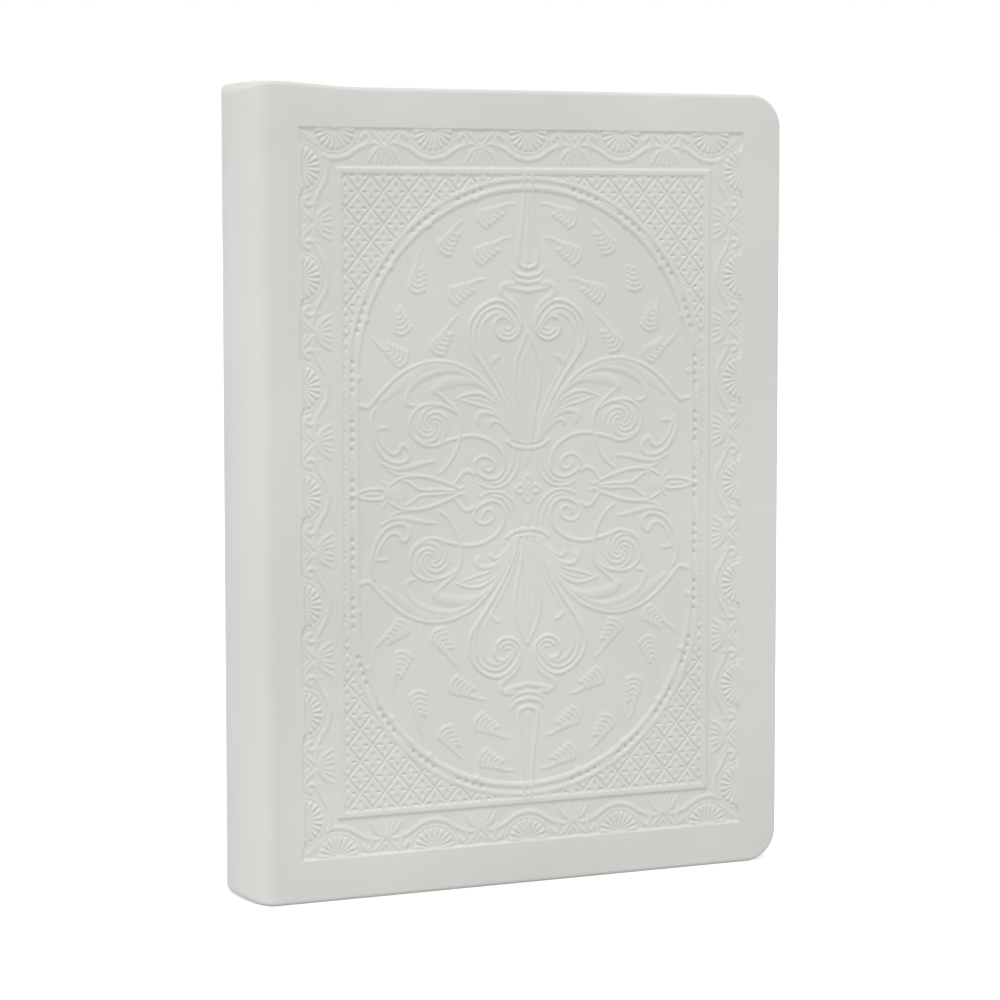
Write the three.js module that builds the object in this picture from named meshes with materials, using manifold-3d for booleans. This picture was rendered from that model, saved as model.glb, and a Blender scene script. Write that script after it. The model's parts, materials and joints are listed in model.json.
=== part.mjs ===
// A case-bound prayer book, standing closed on its tail edges.
//
// Frame: +Z up, the front cover faces -Y, the spine is on the -X side.
// The origin is the middle of the book's bounding box at the height of the surface it stands on.
// Units are millimetres. Every length that can be set by itself has its own name below.

import * as THREE from "three";
import { mergeVertices } from "three/addons/utils/BufferGeometryUtils.js";
import Module from "manifold-3d";

const wasm = await Module();
wasm.setup();

// ---------------------------------------------------------------- driving dimensions

const COVER_WIDTH = 148; // spine corner to fore edge
const COVER_HEIGHT = 210;
const BOOK_THICKNESS = 30; // over both covers
const SPINE_BULGE = 5.5; // how far the spine rounds out past the covers' corners
const HEADCAP_RISE = 1.2; // the spine leather stands this much above the boards at the head
const CAP_ROUND = 3; // rounding of the spine leather at the head, where it turns in
const TAIL_ROUND = 5; // the same at the tail, which the book stands on
const COVER_CORNER_RADIUS = 9; // the two fore-edge corners

const LEATHER = 1.0; // skin on the outside
const BOARD = 2.4; // grey board
const TURN_IN = 0.4; // pared leather folded round to the inside
const TURN_IN_WIDTH = 14;
const PAPER = 0.15; // endpapers and single leaves
const INLAY = 0.6; // card in the spine
const EDGE_ROUND = 0.8; // rounding of the covers' edges

const BOARD_SETBACK = 4; // flexible leather between the spine corner and the board
const HINGE_SETBACK = 2; // hinge line from the spine corner
const HINGE_PROUD = 0.8; // hinge line outside the cover's surface, the radius of the leather fold
const GUTTER_DEPTH = 8; // hinge line to the line where the leaves start to turn

const SQUARE = 3; // how far the covers overhang the leaves at head, tail and fore edge
const LEAF_CORNER_RADIUS = 6.5;
const SECTIONS = 12;
const TURNING_SECTIONS = 5; // sections that turn with each cover
const TURNING_LEAVES = 2; // single leaves between the flyleaf and the first section
const BACK_ROUND = 3.4; // rounding of the sections' folded backs, and of the hollow fore edge
const BACK_SETBACK = 1.5; // centre of that rounding from the spine corner

const THREAD = 0.4; // sewing thread across the backs
const THREAD_STATIONS = 5;
const MULL = 0.25; // open cloth glued over the backs
const LINING = 0.3; // paper over the cloth
const LINING_MARGIN = 12; // the linings stop this far short of head and tail
const BAND_RADIUS = 0.9; // head and tail bands
const BAND_SIT = 0.25; // clearance of a band above the leaves' edge

const SHEET_GAP = 0.05; // between sheets and sections lying on each other
const FIT_GAP = 0.05; // round a glued piece in its pocket
const BACK_GAP = 0.15; // between the folds and the thread across them
const HINGE_GAP = 0.15; // each side of a line where leather or paper folds

const ARC_STEPS = 20; // facets along a rounded spine
const CORNER_STEPS = 5; // facets round a corner

// ---------------------------------------------------------------- sizes worked out from them

const LENGTH_X = COVER_WIDTH + SPINE_BULGE;
const SPINE_CORNER = -LENGTH_X / 2 + SPINE_BULGE;
const FORE_EDGE = LENGTH_X / 2;
const FACE = BOOK_THICKNESS / 2; // |y| of the covers' outer faces
const HINGE_X = SPINE_CORNER + HINGE_SETBACK;
const GUTTER_X = HINGE_X + GUTTER_DEPTH;
const BOARD_X = SPINE_CORNER + BOARD_SETBACK;
const COVER_STACK = LEATHER + BOARD + TURN_IN + PAPER;
const BLOCK_HALF = FACE - COVER_STACK - SHEET_GAP; // |y| where the leaves begin
const ENDS = PAPER + SHEET_GAP; // one sheet and its gap
const SECTIONS_HALF = BLOCK_HALF - ENDS * (1 + TURNING_LEAVES);
const SECTION_PITCH = (2 * SECTIONS_HALF) / SECTIONS;
const SECTION = SECTION_PITCH - SHEET_GAP;
const LEAF_LOW = SQUARE;
const LEAF_HIGH = COVER_HEIGHT - SQUARE;
const LEAF_FORE = FORE_EDGE - SQUARE - LEATHER;
const BACK_CENTRE = SPINE_CORNER + BACK_SETBACK;

// How far the rounded block stands out at a distance y from its middle, 0 at its outer faces.
function backRound(y) {
  const round = (v) => Math.sqrt(1 - (v / (BLOCK_HALF + PAPER)) ** 2);
  return BACK_ROUND * (round(y) - round(SECTIONS_HALF));
}

// ---------------------------------------------------------------- materials

function finish(color, roughness) {
  return new THREE.MeshStandardMaterial({ color, roughness, metalness: 0 });
}

const leather = finish(0xe4e5e0, 0.55);
const greyBoard = finish(0x9b9488, 0.9);
const endpaper = finish(0xf1eee4, 0.85);
const textPaper = finish(0xf4efe0, 0.9);
const cloth = finish(0xe9e4d4, 0.95);
const silk = finish(0xf3f1ea, 0.5);
const linen = finish(0xe6dcc3, 0.8);

// ---------------------------------------------------------------- shape helpers

function solidOf(geometry) {
  const plain = geometry.clone();
  plain.deleteAttribute("normal");
  plain.deleteAttribute("uv");
  const merged = mergeVertices(plain, 1e-4);
  return new wasm.Manifold(
    new wasm.Mesh({
      numProp: 3,
      vertProperties: new Float32Array(merged.attributes.position.array),
      triVerts: new Uint32Array(merged.index.array),
    }),
  );
}

function geometryOf(solid) {
  const mesh = solid.getMesh();
  return new THREE.BufferGeometry()
    .setAttribute("position", new THREE.BufferAttribute(mesh.vertProperties, 3))
    .setIndex(new THREE.BufferAttribute(mesh.triVerts, 1));
}

// A rectangle in the X-Z plane whose two fore-edge corners are round.
function pageShape(x0, x1, z0, z1, radius) {
  const shape = new THREE.Shape();
  shape.moveTo(x0, z0);
  if (radius > 0) {
    shape.lineTo(x1 - radius, z0);
    shape.absarc(x1 - radius, z0 + radius, radius, -Math.PI / 2, 0, false);
    shape.lineTo(x1, z1 - radius);
    shape.absarc(x1 - radius, z1 - radius, radius, 0, Math.PI / 2, false);
  } else {
    shape.lineTo(x1, z0);
    shape.lineTo(x1, z1);
  }
  shape.lineTo(x0, z1);
  shape.closePath();
  return shape;
}

// A flat plate, its outline in X-Z and its thickness from y0 to y1, with rounded edges if asked.
function plate(shape, y0, y1, edge = 0) {
  const geometry = new THREE.ExtrudeGeometry(shape, {
    depth: y1 - y0 - 2 * edge,
    curveSegments: CORNER_STEPS,
    bevelEnabled: edge > 0,
    bevelThickness: edge,
    bevelSize: edge,
    bevelOffset: -edge,
    bevelSegments: 2,
  });
  geometry.rotateX(Math.PI / 2); // outline from X-Y to X-Z, depth along -Y
  geometry.translate(0, y1 - edge, 0);
  return geometry;
}

// A straight-sided prism standing along Z on an outline in the X-Y plane.
function prism(outline, z0, z1) {
  const shape = new THREE.Shape(outline.map(([x, y]) => new THREE.Vector2(x, y)));
  const geometry = new THREE.ExtrudeGeometry(shape, { depth: z1 - z0, bevelEnabled: false });
  geometry.translate(0, 0, z0);
  return geometry;
}

// Points along half an ellipse that bulges towards -X, as far as an angle each side.
function roundedBack(centre, bulge, half, limit = Math.PI / 2) {
  const points = [];
  for (let i = 0; i <= ARC_STEPS; i += 1) {
    const angle = limit * (-1 + (2 * i) / ARC_STEPS);
    points.push([centre - bulge * Math.cos(angle), half * Math.sin(angle)]);
  }
  return points;
}

// The outline between an outer and an inner rounded back.
function backShell(outer, inner) {
  return [...outer, ...[...inner].reverse()];
}

const book = new THREE.Group();

function add(name, geometry, material) {
  const mesh = new THREE.Mesh(geometry, material);
  mesh.name = name;
  book.add(mesh);
}

// Pieces of the back half are the front half's, mirrored in y.
function addSided(side, name, shape, yOuter, yInner, material, edge = 0) {
  const near = Math.min(side * yOuter, side * yInner);
  const far = Math.max(side * yOuter, side * yInner);
  add(name, plate(shape, near, far, edge), material);
}

// ---------------------------------------------------------------- covers

// The leather skin of one cover: wrapped over the board's edges and turned in.
function coverLeather(side) {
  const outline = pageShape(SPINE_CORNER, FORE_EDGE, 0, COVER_HEIGHT, COVER_CORNER_RADIUS);
  const inner = FACE - LEATHER - BOARD - TURN_IN;
  const span = (a, b) => [Math.min(side * a, side * b), Math.max(side * a, side * b)];
  const body = solidOf(plate(outline, ...span(FACE, inner), EDGE_ROUND))
    .trimByPlane([1, 0, 0], HINGE_X + HINGE_GAP);
  const pocket = solidOf(
    plate(
      pageShape(
        HINGE_X - HINGE_SETBACK, FORE_EDGE - LEATHER + FIT_GAP,
        LEATHER - FIT_GAP, COVER_HEIGHT - LEATHER + FIT_GAP,
        COVER_CORNER_RADIUS - LEATHER + FIT_GAP,
      ),
      ...span(FACE - LEATHER, FACE - LEATHER - BOARD - FIT_GAP),
    ),
  );
  const window = solidOf(
    plate(
      pageShape(
        HINGE_X - HINGE_SETBACK, FORE_EDGE - TURN_IN_WIDTH,
        TURN_IN_WIDTH, COVER_HEIGHT - TURN_IN_WIDTH, 0,
      ),
      ...span(FACE - LEATHER, inner - TURN_IN),
    ),
  );
  return geometryOf(body.subtract(pocket).subtract(window));
}

function addCover(name, side) {
  add(`${name}_cover_leather`, coverLeather(side), leather);
  const boardFace = FACE - LEATHER;
  const infillFace = boardFace - BOARD;
  const paperFace = infillFace - TURN_IN;
  const boardShape = pageShape(
    BOARD_X, FORE_EDGE - LEATHER, LEATHER, COVER_HEIGHT - LEATHER,
    COVER_CORNER_RADIUS - LEATHER,
  );
  addSided(side, `${name}_board`, boardShape, boardFace, infillFace, greyBoard);
  const infillShape = pageShape(
    BOARD_X, FORE_EDGE - TURN_IN_WIDTH - FIT_GAP,
    TURN_IN_WIDTH + FIT_GAP, COVER_HEIGHT - TURN_IN_WIDTH - FIT_GAP, 0,
  );
  addSided(side, `${name}_infill`, infillShape, infillFace - FIT_GAP, paperFace, endpaper);
  const paperShape = pageShape(
    BOARD_X, FORE_EDGE - SQUARE - LEATHER, SQUARE, COVER_HEIGHT - SQUARE, LEAF_CORNER_RADIUS,
  );
  addSided(side, `${name}_pastedown`, paperShape, paperFace, paperFace - PAPER, endpaper);
}

// ---------------------------------------------------------------- spine

// The spine seen from the front: a tall rectangle, round where the leather turns in.
function capOutline(top) {
  const outer = SPINE_CORNER - SPINE_BULGE;
  const r = CAP_ROUND;
  const shape = new THREE.Shape();
  shape.moveTo(SPINE_CORNER + TAIL_ROUND, 0);
  shape.lineTo(SPINE_CORNER + TAIL_ROUND, top);
  shape.lineTo(outer + r, top);
  shape.absarc(outer + r, top - r, r, Math.PI / 2, Math.PI, false);
  shape.lineTo(outer, TAIL_ROUND);
  shape.absarc(outer + TAIL_ROUND, TAIL_ROUND, TAIL_ROUND, Math.PI, (3 * Math.PI) / 2, false);
  shape.closePath();
  return shape;
}

function addSpine() {
  const top = COVER_HEIGHT + HEADCAP_RISE;
  const wall = LEATHER + INLAY + TURN_IN;
  const skin = (t) => roundedBack(SPINE_CORNER, SPINE_BULGE - t, FACE - t);
  const body = solidOf(prism(backShell(skin(0), skin(wall)), 0, top))
    .intersect(solidOf(plate(capOutline(top), -FACE - 1, FACE + 1)));
  const slot = solidOf(
    prism(
      backShell(skin(LEATHER), skin(LEATHER + INLAY + FIT_GAP)),
      CAP_ROUND - FIT_GAP, top - CAP_ROUND + FIT_GAP,
    ),
  );
  const opening = solidOf(
    prism(
      backShell(skin(LEATHER + INLAY), skin(wall + TURN_IN)),
      TURN_IN_WIDTH, top - TURN_IN_WIDTH,
    ),
  );
  add("spine_leather", geometryOf(body.subtract(slot).subtract(opening)), leather);
  const card = backShell(skin(LEATHER + FIT_GAP), skin(LEATHER + INLAY));
  add("spine_inlay", prism(card, CAP_ROUND, top - CAP_ROUND), greyBoard);
}

// The leather between the spine and the hinge line, and the folded endpaper inside it.
function addJoint(name, side) {
  const strip = pageShape(SPINE_CORNER + FIT_GAP, HINGE_X - HINGE_GAP, 0, COVER_HEIGHT, 0);
  addSided(side, `${name}_joint_leather`, strip, FACE, FACE - LEATHER, leather);
  const fold = pageShape(HINGE_X, GUTTER_X - HINGE_GAP, LEAF_LOW, LEAF_HIGH, 0);
  const face = BLOCK_HALF;
  addSided(side, `${name}_endpaper_fold`, fold, face, face - PAPER, endpaper);
}

// ---------------------------------------------------------------- text block

function addSheet(name, side, order) {
  const face = BLOCK_HALF - order * ENDS;
  const outline = pageShape(
    GUTTER_X + HINGE_GAP, LEAF_FORE, LEAF_LOW, LEAF_HIGH, LEAF_CORNER_RADIUS,
  );
  addSided(side, name, outline, face, face - PAPER, order === 0 ? endpaper : textPaper);
}

// The plan outline of a section's folded back, round at the fold.
function foldOutline(middle, backX, frontX) {
  const half = SECTION / 2;
  const outline = [[frontX, middle - half], [frontX, middle + half]];
  for (let i = 0; i <= CORNER_STEPS; i += 1) {
    const angle = (Math.PI * i) / CORNER_STEPS;
    outline.push([
      backX + half - half * Math.sin(angle),
      middle + half * Math.cos(angle),
    ]);
  }
  return outline;
}

function addSections() {
  for (let i = 0; i < SECTIONS; i += 1) {
    const low = -SECTIONS_HALF + i * SECTION_PITCH + SHEET_GAP / 2;
    const middle = low + SECTION / 2;
    const label = `section_${String(i + 1).padStart(2, "0")}`;
    const shift = backRound(middle);
    const backX = BACK_CENTRE - shift;
    const foreX = LEAF_FORE - shift;
    const turns = i < TURNING_SECTIONS || i >= SECTIONS - TURNING_SECTIONS;
    const splitX = GUTTER_X - HINGE_GAP;
    const fold = prism(foldOutline(middle, backX, splitX), LEAF_LOW, LEAF_HIGH);
    const leavesShape = pageShape(
      turns ? GUTTER_X + HINGE_GAP : splitX, foreX, LEAF_LOW, LEAF_HIGH, LEAF_CORNER_RADIUS,
    );
    const leaves = plate(leavesShape, low, low + SECTION);
    if (turns) {
      add(`${label}_fold`, fold, textPaper);
      add(`${label}_leaves`, leaves, textPaper);
    } else {
      add(label, geometryOf(solidOf(fold).add(solidOf(leaves))), textPaper);
    }
  }
}

// ---------------------------------------------------------------- back of the block

// The rounded back of the sections, moved out by a distance.
function blockBack(out) {
  const half = BLOCK_HALF + PAPER;
  const limit = Math.asin(SECTIONS_HALF / half);
  const centre = BACK_CENTRE + BACK_ROUND * Math.cos(limit);
  return roundedBack(centre, BACK_ROUND + out, half + out, limit);
}

// A round cord of the given radius along the back, at a distance out and a height z.
function backCord(out, z, radius, sides) {
  const points = blockBack(out).map(([x, y]) => new THREE.Vector3(x, y, z));
  const section = new THREE.Shape();
  section.absarc(0, 0, radius, 0, 2 * Math.PI, false);
  return new THREE.ExtrudeGeometry(section, {
    extrudePath: new THREE.CatmullRomCurve3(points),
    steps: ARC_STEPS,
    curveSegments: sides,
    bevelEnabled: false,
  });
}

function addBackLinings() {
  const threadOut = THREAD / 2 + BACK_GAP;
  const run = LEAF_HIGH - LEAF_LOW;
  for (let i = 0; i < THREAD_STATIONS; i += 1) {
    const z = LEAF_LOW + (run * (i + 0.5)) / THREAD_STATIONS;
    add(`sewing_thread_${i + 1}`, backCord(threadOut, z, THREAD / 2, 6), linen);
  }
  const mullOut = THREAD + BACK_GAP + FIT_GAP;
  const liningOut = mullOut + MULL + FIT_GAP;
  const low = LEAF_LOW + LINING_MARGIN;
  const high = LEAF_HIGH - LINING_MARGIN;
  add("mull", prism(backShell(blockBack(mullOut + MULL), blockBack(mullOut)), low, high), cloth);
  const lining = backShell(blockBack(liningOut + LINING), blockBack(liningOut));
  add("spine_lining", prism(lining, low, high), greyBoard);
  const sit = BAND_RADIUS + BAND_SIT;
  add("head_band", backCord(-BAND_RADIUS, LEAF_HIGH + sit, BAND_RADIUS, 10), silk);
  add("tail_band", backCord(-BAND_RADIUS, LEAF_LOW - sit, BAND_RADIUS, 10), silk);
}

// ---------------------------------------------------------------- assembly

for (const [name, side] of [["front", -1], ["back", 1]]) {
  addCover(name, side);
  addJoint(name, side);
  addSheet(`${name}_flyleaf`, side, 0);
  for (let i = 1; i <= TURNING_LEAVES; i += 1) {
    addSheet(`${name}_leaf_${i}`, side, i);
  }
}
addSpine();
addSections();
addBackLinings();

export default book;
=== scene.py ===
"""Looks of a white leather prayer book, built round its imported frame.

Lengths below are in millimetres unless a name says otherwise; meshes are in metres.
"""

import json
import logging
import math
from dataclasses import dataclass, field
from enum import Enum

import bmesh
import bpy
import numpy as np
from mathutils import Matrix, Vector


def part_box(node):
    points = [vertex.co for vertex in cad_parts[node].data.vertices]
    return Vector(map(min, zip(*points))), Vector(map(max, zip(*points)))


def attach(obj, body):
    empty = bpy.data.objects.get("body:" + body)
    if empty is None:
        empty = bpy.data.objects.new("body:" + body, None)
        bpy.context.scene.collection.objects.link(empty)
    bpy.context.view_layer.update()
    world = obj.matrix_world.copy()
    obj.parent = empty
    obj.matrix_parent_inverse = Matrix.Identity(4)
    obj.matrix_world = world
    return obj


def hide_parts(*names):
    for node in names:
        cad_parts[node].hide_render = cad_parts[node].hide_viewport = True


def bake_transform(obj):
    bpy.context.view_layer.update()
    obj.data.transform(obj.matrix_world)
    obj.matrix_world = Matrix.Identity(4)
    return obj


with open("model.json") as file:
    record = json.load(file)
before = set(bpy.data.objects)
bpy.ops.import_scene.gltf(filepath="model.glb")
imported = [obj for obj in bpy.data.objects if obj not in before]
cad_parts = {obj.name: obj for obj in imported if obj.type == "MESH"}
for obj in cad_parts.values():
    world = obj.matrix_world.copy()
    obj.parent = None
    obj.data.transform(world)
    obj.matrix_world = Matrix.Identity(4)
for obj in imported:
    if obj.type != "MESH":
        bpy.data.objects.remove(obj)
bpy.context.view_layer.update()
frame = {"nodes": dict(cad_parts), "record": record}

MM = 0.001
HEAD_RUN = 24.0  # how far from the joint the head edge stands up

log = logging.getLogger("prayer_book")

Point = tuple[float, float]
Colour = tuple[float, float, float, float]


class Side(Enum):
    """The two covers, by the sign of their outward direction along Y."""

    FRONT = -1
    BACK = 1

    @property
    def label(self) -> str:
        """The side's name as the frame's nodes spell it."""
        return self.name.lower()


@dataclass(frozen=True)
class BookSizes:
    """Main positions of the book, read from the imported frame."""

    corner: float
    spine: float
    fore: float
    face: float
    height: float
    head: float
    hinge: float
    gutter: float
    board: float
    block: float

    @classmethod
    def from_frame(cls) -> "BookSizes":
        """Reads the sizes off the frame's nodes and hinges.

        Returns:
            The sizes, in millimetres.
        """
        skin_low, skin_high = (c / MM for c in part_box("front_cover_leather"))
        spine_low, spine_high = (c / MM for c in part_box("spine_leather"))
        board_low, _ = (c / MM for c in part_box("front_board"))
        leaf_low, _ = (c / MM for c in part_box("front_flyleaf"))
        joints = {j["name"]: j for j in frame["record"]["behaviour"]["joints"]}
        hinge = joints["front_cover_hinge"]["pos_m"]
        gutter = joints["front_flyleaf_turn"]["pos_m"]
        return cls(
            corner=spine_high[0],
            spine=spine_low[0],
            fore=skin_high[0],
            face=-skin_low[1],
            height=skin_high[2],
            head=spine_high[2],
            hinge=hinge[0] / MM,
            gutter=gutter[0] / MM,
            board=board_low[0],
            block=-leaf_low[1],
        )


# ---------------------------------------------------------------- mesh helpers


def build_mesh(name: str, points: np.ndarray, *face_groups: np.ndarray) -> bpy.types.Mesh:
    """Makes a mesh from arrays.

    Args:
        name: The mesh's name.
        points: (N, 3) positions in millimetres.
        face_groups: Arrays of corner indices, one row for each face.

    Returns:
        The new mesh, in metres.
    """
    mesh = bpy.data.meshes.new(name)
    mesh.vertices.add(len(points))
    mesh.vertices.foreach_set("co", (points * MM).astype(np.float32).ravel())
    corners = np.concatenate([g.ravel() for g in face_groups]).astype(np.int32)
    counts = np.concatenate([np.full(len(g), g.shape[1]) for g in face_groups])
    starts = np.concatenate([[0], np.cumsum(counts)[:-1]]).astype(np.int32)
    mesh.loops.add(len(corners))
    mesh.loops.foreach_set("vertex_index", corners)
    mesh.polygons.add(len(counts))
    mesh.polygons.foreach_set("loop_start", starts)
    mesh.polygons.foreach_set("loop_total", counts.astype(np.int32))
    mesh.update(calc_edges=True)
    mesh.validate()
    return mesh


def sweep(sections: np.ndarray) -> tuple[np.ndarray, list[np.ndarray]]:
    """Joins closed profiles into one capped shell.

    Args:
        sections: (S, P, 3) points, one closed profile for each station.

    Returns:
        The points, and the face groups.
    """
    stations, sides = sections.shape[:2]
    index = np.arange(stations * sides).reshape(stations, sides)
    first, second = index[:-1], index[1:]
    quads = np.stack(
        [first, np.roll(first, -1, axis=1), np.roll(second, -1, axis=1), second], axis=-1
    )
    caps = np.stack([index[0][::-1], index[-1]])
    return sections.reshape(-1, 3), [quads.reshape(-1, 4), caps]


def make_object(
    name: str, points: np.ndarray, groups: list[np.ndarray], sharp_angle: float = 35.0
) -> bpy.types.Object:
    """Makes a closed object whose faces point out.

    Args:
        name: The object's name.
        points: (N, 3) positions in millimetres.
        groups: Arrays of corner indices.
        sharp_angle: Edges that turn by more than this many degrees stay crisp.

    Returns:
        The new object, linked to the scene.
    """
    mesh = build_mesh(name, points, *groups)
    work = bmesh.new()
    work.from_mesh(mesh)
    bmesh.ops.remove_doubles(work, verts=work.verts, dist=1e-7)
    bmesh.ops.dissolve_degenerate(work, edges=work.edges, dist=1e-7)
    bmesh.ops.recalc_face_normals(work, faces=work.faces)
    work.to_mesh(mesh)
    work.free()
    mesh.polygons.foreach_set("use_smooth", np.ones(len(mesh.polygons), bool))
    mesh.set_sharp_from_angle(angle=math.radians(sharp_angle))
    made = bpy.data.objects.new(name, mesh)
    bpy.context.scene.collection.objects.link(made)
    return made


def smooth_line(points: list[Point], spacing: float) -> np.ndarray:
    """Runs a Catmull-Rom curve through points.

    Args:
        points: Control points.
        spacing: Distance between the points that come back.

    Returns:
        (N, 2) points along the curve.
    """
    given = np.asarray(points, float)
    ends = np.vstack([2 * given[0] - given[1], given, 2 * given[-1] - given[-2]])
    pieces = []
    for a, b, c, d in zip(ends, ends[1:], ends[2:], ends[3:]):
        count = max(2, math.ceil(np.linalg.norm(c - b) / spacing))
        t = np.linspace(0, 1, count, endpoint=False)[:, None]
        pieces.append(
            0.5 * (2 * b + (c - a) * t + (2 * a - 5 * b + 4 * c - d) * t**2
                   + (3 * b - a - 3 * c + d) * t**3)
        )
    return np.vstack([*pieces, given[-1:]])


def spiral_line(
    centre: Point, radii: Point, angles: Point, turns_in: int = 24
) -> list[Point]:
    """Points on a spiral.

    Args:
        centre: Its middle.
        radii: Radius at its start and at its end.
        angles: Angle at its start and at its end, in degrees, clockwise from +u.
        turns_in: Points for each full turn.

    Returns:
        The points.
    """
    count = max(4, int(abs(angles[1] - angles[0]) / 360 * turns_in))
    t = np.linspace(0, 1, count)
    radius = radii[0] + (radii[1] - radii[0]) * t
    angle = np.radians(angles[0] + (angles[1] - angles[0]) * t)
    return [
        (centre[0] + r * math.cos(a), centre[1] + r * math.sin(a))
        for r, a in zip(radius, angle)
    ]


def head_lift(sizes: BookSizes, x: np.ndarray) -> np.ndarray:
    """How far the leather of the head stands up near the spine.

    Args:
        sizes: The book's sizes.
        x: Positions from spine to fore edge.

    Returns:
        Heights to add to the head edge.
    """
    return (sizes.head - sizes.height) * (1 - ease(x - sizes.corner, 1.0, HEAD_RUN))


def ease(value: np.ndarray, low: float, high: float) -> np.ndarray:
    """Smooth step of value from 0 at low to 1 at high."""
    t = np.clip((value - low) / (high - low), 0, 1)
    return t * t * (3 - 2 * t)


# ---------------------------------------------------------------- node trees


class NodeTree:
    """Short ways to link sockets and to work out numbers in any node tree."""

    tree: bpy.types.NodeTree

    def feed(self, socket: bpy.types.NodeSocket, value: object) -> None:
        """Links a socket to an input, or sets the input to a plain value."""
        if isinstance(value, bpy.types.NodeSocket):
            self.tree.links.new(value, socket)
        else:
            socket.default_value = value

    def link(self, source: bpy.types.NodeSocket, target: bpy.types.NodeSocket) -> None:
        """Links two sockets."""
        self.tree.links.new(source, target)

    def math(self, operation: str, *values: object) -> bpy.types.NodeSocket:
        """Adds a math node.

        Args:
            operation: What it works out.
            values: Its inputs, each a socket or a number.

        Returns:
            Its output.
        """
        made = self.tree.nodes.new("ShaderNodeMath")
        made.operation = operation
        for socket, value in zip(made.inputs, values):
            self.feed(socket, value)
        return made.outputs[0]


class GeometryTree(NodeTree):
    """A geometry node group with named inputs, applied to an object as a plain mesh."""

    def __init__(self, name: str) -> None:
        """Starts the group with its geometry sockets.

        Args:
            name: The group's name.
        """
        self.tree = bpy.data.node_groups.new(name, "GeometryNodeTree")
        self.tree.is_modifier = True
        self.sockets: dict[str, str] = {}
        self.tree.interface.new_socket(
            "Geometry", in_out="INPUT", socket_type="NodeSocketGeometry"
        )
        self.tree.interface.new_socket(
            "Geometry", in_out="OUTPUT", socket_type="NodeSocketGeometry"
        )
        self.inputs = self.tree.nodes.new("NodeGroupInput")
        self.output = self.tree.nodes.new("NodeGroupOutput")

    def add_input(self, name: str, kind: str) -> None:
        """Adds a named input.

        Args:
            name: The input's name.
            kind: Its socket type, such as Float, Int or Material.
        """
        socket = self.tree.interface.new_socket(
            name, in_out="INPUT", socket_type=f"NodeSocket{kind}"
        )
        self.sockets[name] = socket.identifier

    def node(self, kind: str, **values: object) -> bpy.types.Node:
        """Adds a node.

        Args:
            kind: Its type, without the GeometryNode prefix where it has one.
            values: Its properties.

        Returns:
            The node.
        """
        full = kind if kind.startswith(("Shader", "Function")) else f"GeometryNode{kind}"
        made = self.tree.nodes.new(full)
        for key, value in values.items():
            setattr(made, key, value)
        return made

    def close(self, geometry: bpy.types.NodeSocket) -> None:
        """Ends the group in real geometry with its material.

        Args:
            geometry: What the group has made.
        """
        self.add_input("Finish", "Material")
        real = self.node("RealizeInstances")
        dress = self.node("SetMaterial")
        self.link(geometry, real.inputs["Geometry"])
        self.link(real.outputs["Geometry"], dress.inputs["Geometry"])
        self.link(self.inputs.outputs["Finish"], dress.inputs["Material"])
        self.link(dress.outputs["Geometry"], self.output.inputs["Geometry"])

    def apply(self, target: bpy.types.Object, **values: object) -> bpy.types.Object:
        """Runs the group on an object and keeps the result as a plain mesh.

        Args:
            target: The object.
            values: The inputs, by name with underscores for spaces.

        Returns:
            The same object, without the modifier.
        """
        modifier = target.modifiers.new(self.tree.name, "NODES")
        modifier.node_group = self.tree
        for key, value in values.items():
            modifier[self.sockets[key.replace("_", " ")]] = value
        graph = bpy.context.evaluated_depsgraph_get()
        made = bpy.data.meshes.new_from_object(
            target.evaluated_get(graph), preserve_all_data_layers=True, depsgraph=graph
        )
        target.modifiers.clear()
        old = target.data
        target.data = made
        made.name = target.name
        bpy.data.meshes.remove(old)
        return target


def press_tree() -> GeometryTree:
    """The die that presses a skin: each point moves along Y by its own relief.

    Returns:
        The group.
    """
    tree = GeometryTree("press_relief")
    tree.add_input("Depth", "Float")
    relief = tree.node("InputNamedAttribute", data_type="FLOAT")
    relief.inputs["Name"].default_value = "relief"
    amount = tree.math("MULTIPLY", relief.outputs[0], tree.inputs.outputs["Depth"])
    offset = tree.node("ShaderNodeCombineXYZ")
    tree.link(amount, offset.inputs["Y"])
    move = tree.node("SetPosition")
    tree.link(tree.inputs.outputs["Geometry"], move.inputs["Geometry"])
    tree.link(offset.outputs[0], move.inputs["Offset"])
    tree.close(move.outputs["Geometry"])
    return tree


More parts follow.
